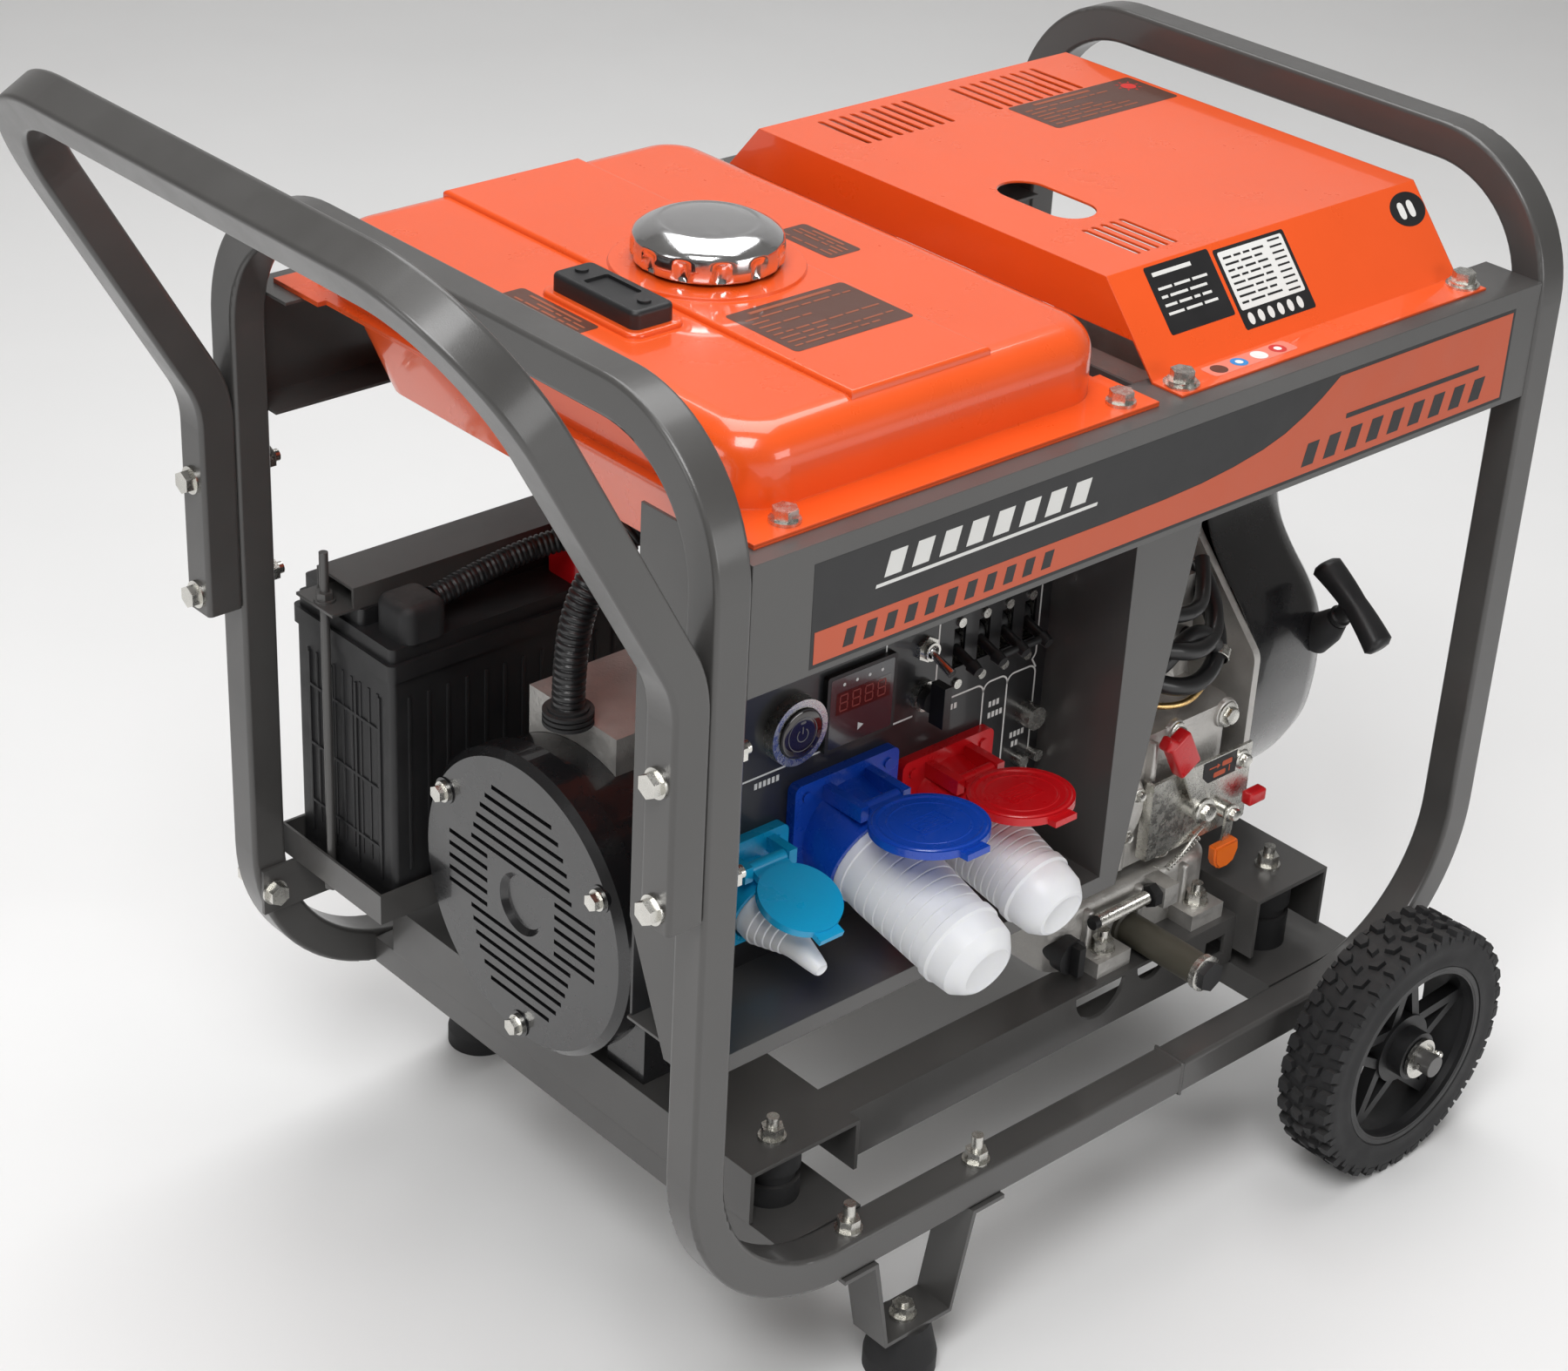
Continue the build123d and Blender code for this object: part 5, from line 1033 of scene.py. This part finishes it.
def throttle_set():
    """Bracket face, both levers with their knobs, sticker, spring and rod."""
    yb = -152.0                                   # front of the bracket plate
    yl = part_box("throttle_lever")[0].y / MM
    pivot, stop_pivot = (518, 266), (548, 253)    # x and z of the two lever pivots
    bolt("throttle_pivot_bolt", W(pivot[0], yl + 4.6, pivot[1]), -Y, 6.4, 6.0, body="throttle")
    bolt("stop_pivot_bolt", W(stop_pivot[0], -160.7, stop_pivot[1]), -Y, 4.6, 5.0, body="stop")
    bolt("bracket_bolt", W(563, yb - 0.2, 287), -Y, 5.0, 5.5)
    ob = soft_box("throttle_knob", 475, 495, -166.5, -155.6, 308, 339, 2.6, "red_plastic",
                  "throttle", rot=Matrix.Rotation(math.radians(-29), 3, "Y"))
    soft_box("throttle_knob_ear", 470, 480, -166.0, -156.2, 322, 342, 3.0, "red_plastic",
             "throttle", rot=Matrix.Rotation(math.radians(-58), 3, "Y"))
    ang = math.radians(29)
    bm = bmesh.new()
    d = Vector((-math.sin(ang), math.cos(ang)))
    t = Vector((d.y, -d.x))
    base = Vector(pivot)
    arm = [base + t * 9 - d * 6, base + t * 6 + d * 12, base + t * 4.5 + d * 52,
           base - t * 4.5 + d * 52, base - t * 6 + d * 12, base - t * 9 - d * 6]
    add_prism(bm, [(p.x, p.y) for p in arm], Vector((XS, -158.2 * MM, 0)), X, Z, -Y, 2.2)
    from_bmesh("throttle_arm_plate", bm, "zinc", "throttle")
    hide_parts("throttle_lever")
    bm = bmesh.new()
    add_prism(bm, [(544, 258), (552, 258), (551, 236), (547, 228), (541, 228), (543, 238)],
              Vector((XS, -158.4 * MM, 0)), X, Z, -Y, 2.0)
    from_bmesh("stop_arm_plate", bm, "zinc", "stop")
    bm = bmesh.new()
    pts = [(531, 232), (555, 232), (556, 224), (552, 215), (545, 212.2), (537, 213), (532, 219)]
    add_prism(bm, pts, Vector((XS, -157.2 * MM, 0)), X, Z, -Y, 8.0)
    bmesh.ops.bevel(bm, geom=bm.edges[:], offset=0.0016, segments=3, affect="EDGES")
    ob = from_bmesh("stop_knob", bm, "orange_plastic", "stop", 50)
    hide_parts("stop_lever")
    prism_piece("throttle_face", rrect(472, 238, 572, 298, 2),
                Vector((XS, yb * MM - 0.1 * MM, 0)), X, Z, -Y, 0.4, "zinc")
    bm = bmesh.new()
    add_prism(bm, [(528, 280), (556, 280), (556, 297), (522, 297), (522, 286)],
              Vector((XS, (yb - 0.6) * MM, 0)), X, Z, -Y, 0.15)
    from_bmesh("throttle_sticker", bm, "decal_black", "machine")
    bm = bmesh.new()
    o = Vector((XS, (yb - 0.8) * MM, 0))
    strip(bm, [(528, 291), (536, 291)], 1.0, o, X, Z, -Y, 0.1)
    add_prism(bm, [(536, 289), (539, 291), (536, 293)], o, X, Z, -Y, 0.1)
    add_prism(bm, rrect(541, 289, 551, 293, 1), o, X, Z, -Y, 0.1)
    add_prism(bm, rrect(533, 282.5, 545, 286.5, 1), o, X, Z, -Y, 0.1)
    strip(bm, [(549, 283), (549, 288)], 1.0, o, X, Z, -Y, 0.1)
    from_bmesh("throttle_sticker_marks", bm, "decal_orange", "machine")
    soft_box("speed_knob", 562, 579, -165, -156, 254, 264, 2.2, "red_plastic")
    spring = []
    for i in range(120):
        a = 2 * math.pi * i / 10
        spring.append(W(492 + 0.26 * i, -155.2 + 2.0 * math.cos(a), 226 + 0.12 * i
                        + 2.0 * math.sin(a)))
    tube("governor_spring", spring, 0.5, "zinc", "machine", 0.0006, 8)
    tube("governor_rod", [W(480, -154, 232), W(490, -156, 226), W(505, -156, 232),
                          W(520, -155, 244), W(528, -154, 246)], 0.9, "zinc", "machine",
         0.001, 10)


def hoses():
    """Black hoses and the injection pipe behind the control box."""
    for k, (r, pts) in enumerate((
            (6.4, [(470, -118, 372), (486, -134, 362), (520, -140, 352), (552, -130, 362),
                   (566, -108, 384), (566, -90, 396)]),
            (6.4, [(466, -112, 392), (488, -132, 388), (520, -138, 378), (550, -126, 380),
                   (566, -104, 398), (566, -88, 412)]),
            (5.2, [(464, -108, 410), (484, -126, 412), (516, -130, 404), (544, -118, 404),
                   (560, -98, 420)]),
            (2.4, [(466, -116, 350), (496, -136, 340), (530, -138, 344), (560, -120, 372),
                   (566, -100, 388)]))):
        tube("engine_hose_%d" % k, [W(*p) for p in pts], r,
             "conduit" if k < 3 else "brass", "machine", 0.002, 18)
    lathe("injector_nut", W(500, -70, 470), -Y, [(0, 9), (10, 9), (10.5, 7), (18, 7), (18.5, 5),
          (30, 5)], "zinc", "machine", 6)
    lathe("hose_clamp", W(552, -129, 363), Vector((0.75, 0.45, 0.5)),
          [(-4, 7.3), (-3.6, 7.7), (3.6, 7.7), (4, 7.3)], "zinc", "machine", 32, cap=False)


def castings():
    """Ribs, bosses and bolts on the engine front."""
    yb = -140.3
    for k, (x, z, r) in enumerate(((440, 322, 6.5), (440, 240, 6.5), (552, 322, 6.5),
                                   (500, 326, 5.2), (496, 236, 5.2))):
        lathe("case_boss_%d" % k, W(x, yb + 1, z), -Y, [(0, r * 1.7), (3, r * 1.6), (4, r * 1.35),
              (4.2, r)], "cast_aluminium", "machine", 32)
        bolt("case_bolt_%d" % k, W(x, yb - 3, z), -Y, r, 5.5)
    for k, x in enumerate((455, 478)):
        soft_box("case_rib_%d" % k, x - 2.5, x + 2.5, yb - 6, yb + 3, 234, 326, 2.0,
                 "cast_aluminium")
    lathe("case_side_cover", W(440, yb + 1, 282), -Y, [(0, 33), (5, 32.5), (7, 30), (7.6, 24),
          (7.0, 20), (7.0, 3)], "cast_aluminium", "machine", 64)
    for k in range(5):
        a = math.radians(72 * k + 20)
        bolt("side_cover_bolt_%d" % k, W(440 + 26 * math.cos(a), yb - 6, 282 + 26 * math.sin(a)),
             -Y, 3.6, 4.0)
    for k, x in enumerate((420, 470, 515)):
        soft_box("sump_rib_%d" % k, x - 3, x + 3, -155, -146, 182, 220, 2.4, "cast_aluminium")
    lathe("drain_end_cap", W(461, -221.5, 190.5), -Y, [(-2, 12.6), (0, 12.8), (1.5, 12.8), (2, 11)],
          "zinc", "machine", 40)
    bolt("drain_plug", W(461, -223.3, 190.5), -Y, 9.0, 6.4)
    lathe("drain_sleeve", W(461, -150, 190.5), -Y, [(0, 13.5), (3, 13.5), (4, 11.3), (71, 11.3)],
          "olive_rubber", "machine", 40)
    lathe("sensor_thread", W(477, -159, 214), -X,
          sum([[(8 + 1.1 * k, 4.9), (8.55 + 1.1 * k, 4.5)] for k in range(44)], []),
          "zinc", "machine", 24)


def weld_beads():
    """Bead round each bottom rail where the two frame halves meet."""
    for tag, s in (("front", -1), ("back", 1)):
        bm = bmesh.new()
        y, z = s * 225.0, 124.5
        rng = random.Random(5)
        path = [(-12.7, -12.7), (12.7, -12.7), (12.7, 12.7), (-12.7, 12.7)]
        rows = []
        n = 96
        for i in range(n):
            t = 4.0 * i / n
            k = int(t)
            f = t - k
            a, b = path[k], path[(k + 1) % 4]
            q = (a[0] + (b[0] - a[0]) * f, a[1] + (b[1] - a[1]) * f)
            d = Vector(q).normalized()
            w = 1.9 + 0.35 * math.sin(i * 2.1) + rng.uniform(-0.1, 0.1)
            h = 0.75 + 0.25 * math.sin(i * 2.1 + 0.6)
            rows.append([bm.verts.new(W(433 + u * w, y + q[0] + d.x * v * h * 1.0,
                                        z + q[1] + d.y * v * h))
                         for u, v in ((-1, -1), (-0.7, 0.2), (0, 0.9), (0.7, 0.2), (1, -1))])
        for i in range(n):
            a, b = rows[i], rows[(i + 1) % n]
            for k in range(4):
                bm.faces.new((a[k], a[k + 1], b[k + 1], b[k]))
        from_bmesh("weld_bead_" + tag, bm, "frame_paint", "machine", 70.0)


def battery_dressing():
    """Cell plugs and moulded ribs of the battery."""
    lo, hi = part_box("battery")
    x0 = (lo.x - XS) / MM
    y0, y1 = lo.y / MM, hi.y / MM
    z1 = hi.z / MM
    for k in range(6):
        lathe("cell_plug_%d" % k, W(x0 + 30 + 27 * k, y1 - 22, z1 - 0.4), Z,
              [(0, 8.6), (1.6, 8.4), (2.2, 7.4), (1.6, 6.6), (1.5, 0.5)], "black_plastic",
              "machine", 36)
    for k in range(9):
        soft_box("battery_rib_%d" % k, x0 + 1.2, x0 + 2.6, y0 + 16 + 9.6 * k, y0 + 18.4 + 9.6 * k,
                 258, 386, 0.5, "black_plastic", "machine", 2)
    for k in range(12):
        soft_box("battery_side_rib_%d" % k, x0 + 14 + 15 * k, x0 + 16.6 + 15 * k, y0 + 1.0, y0 + 2.6,
                 258, 386, 0.5, "black_plastic", "machine", 2)


filler_cap()
fan_housing()
recoil_grip()
tyre_piece("front", -1)
tyre_piece("back", 1)
throttle_set()
hoses()
castings()
weld_beads()
battery_dressing()


# ---------------------------------------------------------------- stage, light, camera
def floor():
    bm = bmesh.new()
    half, back, sweep_r, top = 6.0, 3.0, 1.2, 5.0
    curve = [(back + sweep_r * math.sin(a), sweep_r - sweep_r * math.cos(a))
             for a in np.linspace(0.1, math.pi / 2, 10)]
    prof = [(-half, 0.0), (back, 0.0)] + curve + [(back + sweep_r, top)]
    rows = [[bm.verts.new((x, y, z)) for x in (-half, half)] for y, z in prof]
    for a, b in zip(rows, rows[1:]):
        bm.faces.new((a[0], a[1], b[1], b[0]))
    me = bpy.data.meshes.new("studio_floor")
    bm.to_mesh(me)
    bm.free()
    me.shade_smooth()
    ob = bpy.data.objects.new("studio_floor", me)
    bpy.context.scene.collection.objects.link(ob)
    ob.rotation_euler = (0, 0, math.radians(-43))
    m, nt, b, tc = node_setup("studio_paper")
    c = ramp(nt, noise(nt, tc, 3.0, 2.0), [(0.3, (0.86, 0.86, 0.86)), (0.7, (0.88, 0.88, 0.88))])
    nt.links.new(c, b.inputs["Base Color"])
    b.inputs["Roughness"].default_value = 0.9
    me.materials.append(m)


def area(name, loc, target, size, power, size_y=None, color=(1, 1, 1)):
    li = bpy.data.lights.new(name, "AREA")
    li.energy = power
    li.color = color
    li.shape = "RECTANGLE"
    li.size = size
    li.size_y = size_y or size
    ob = bpy.data.objects.new(name, li)
    bpy.context.scene.collection.objects.link(ob)
    ob.location = loc
    ob.rotation_euler = (Vector(target) - Vector(loc)).to_track_quat("-Z", "Y").to_euler()


def studio():
    floor()
    area("key_soft", (-1.5, -1.2, 2.9), (0, 0, 0.3), 1.5, 62)
    area("top_soft", (0.5, 0.5, 3.0), (0, 0, 0.5), 2.2, 58)
    area("fill_front", (0.9, -3.0, 0.9), (0, 0, 0.35), 1.6, 20, 1.0)
    area("fill_left", (-3.0, 0.2, 1.2), (0, 0, 0.35), 1.2, 14, 1.4)
    w = bpy.data.worlds.new("studio_world")
    w.use_nodes = True
    w.node_tree.nodes["Background"].inputs["Color"].default_value = (1.0, 0.97, 0.93, 1)
    w.node_tree.nodes["Background"].inputs["Strength"].default_value = 0.16
    bpy.context.scene.world = w
    bpy.context.scene.view_settings.view_transform = "Standard"


def camera():
    az, el, roll = (math.radians(v) for v in (-43.05, 29.30, 3.11))
    back = Vector((math.sin(az) * math.cos(el), -math.cos(az) * math.cos(el), math.sin(el)))
    right = (-back).cross(Z).normalized()
    up = right.cross(-back)
    r2 = right * math.cos(roll) + up * math.sin(roll)
    u2 = -right * math.sin(roll) + up * math.cos(roll)
    cd = bpy.data.cameras.new("photo_camera")
    cd.sensor_fit = "HORIZONTAL"
    cd.sensor_width = 36.0
    cd.lens = 71.417
    cd.clip_end = 50
    ob = bpy.data.objects.new("photo_camera", cd)
    bpy.context.scene.collection.objects.link(ob)
    m = Matrix((r2, u2, back)).transposed().to_4x4()
    m.translation = W(-928.84, -1284.97, 1360.86)
    ob.matrix_world = m
    bpy.context.scene.camera = ob


studio()
camera()
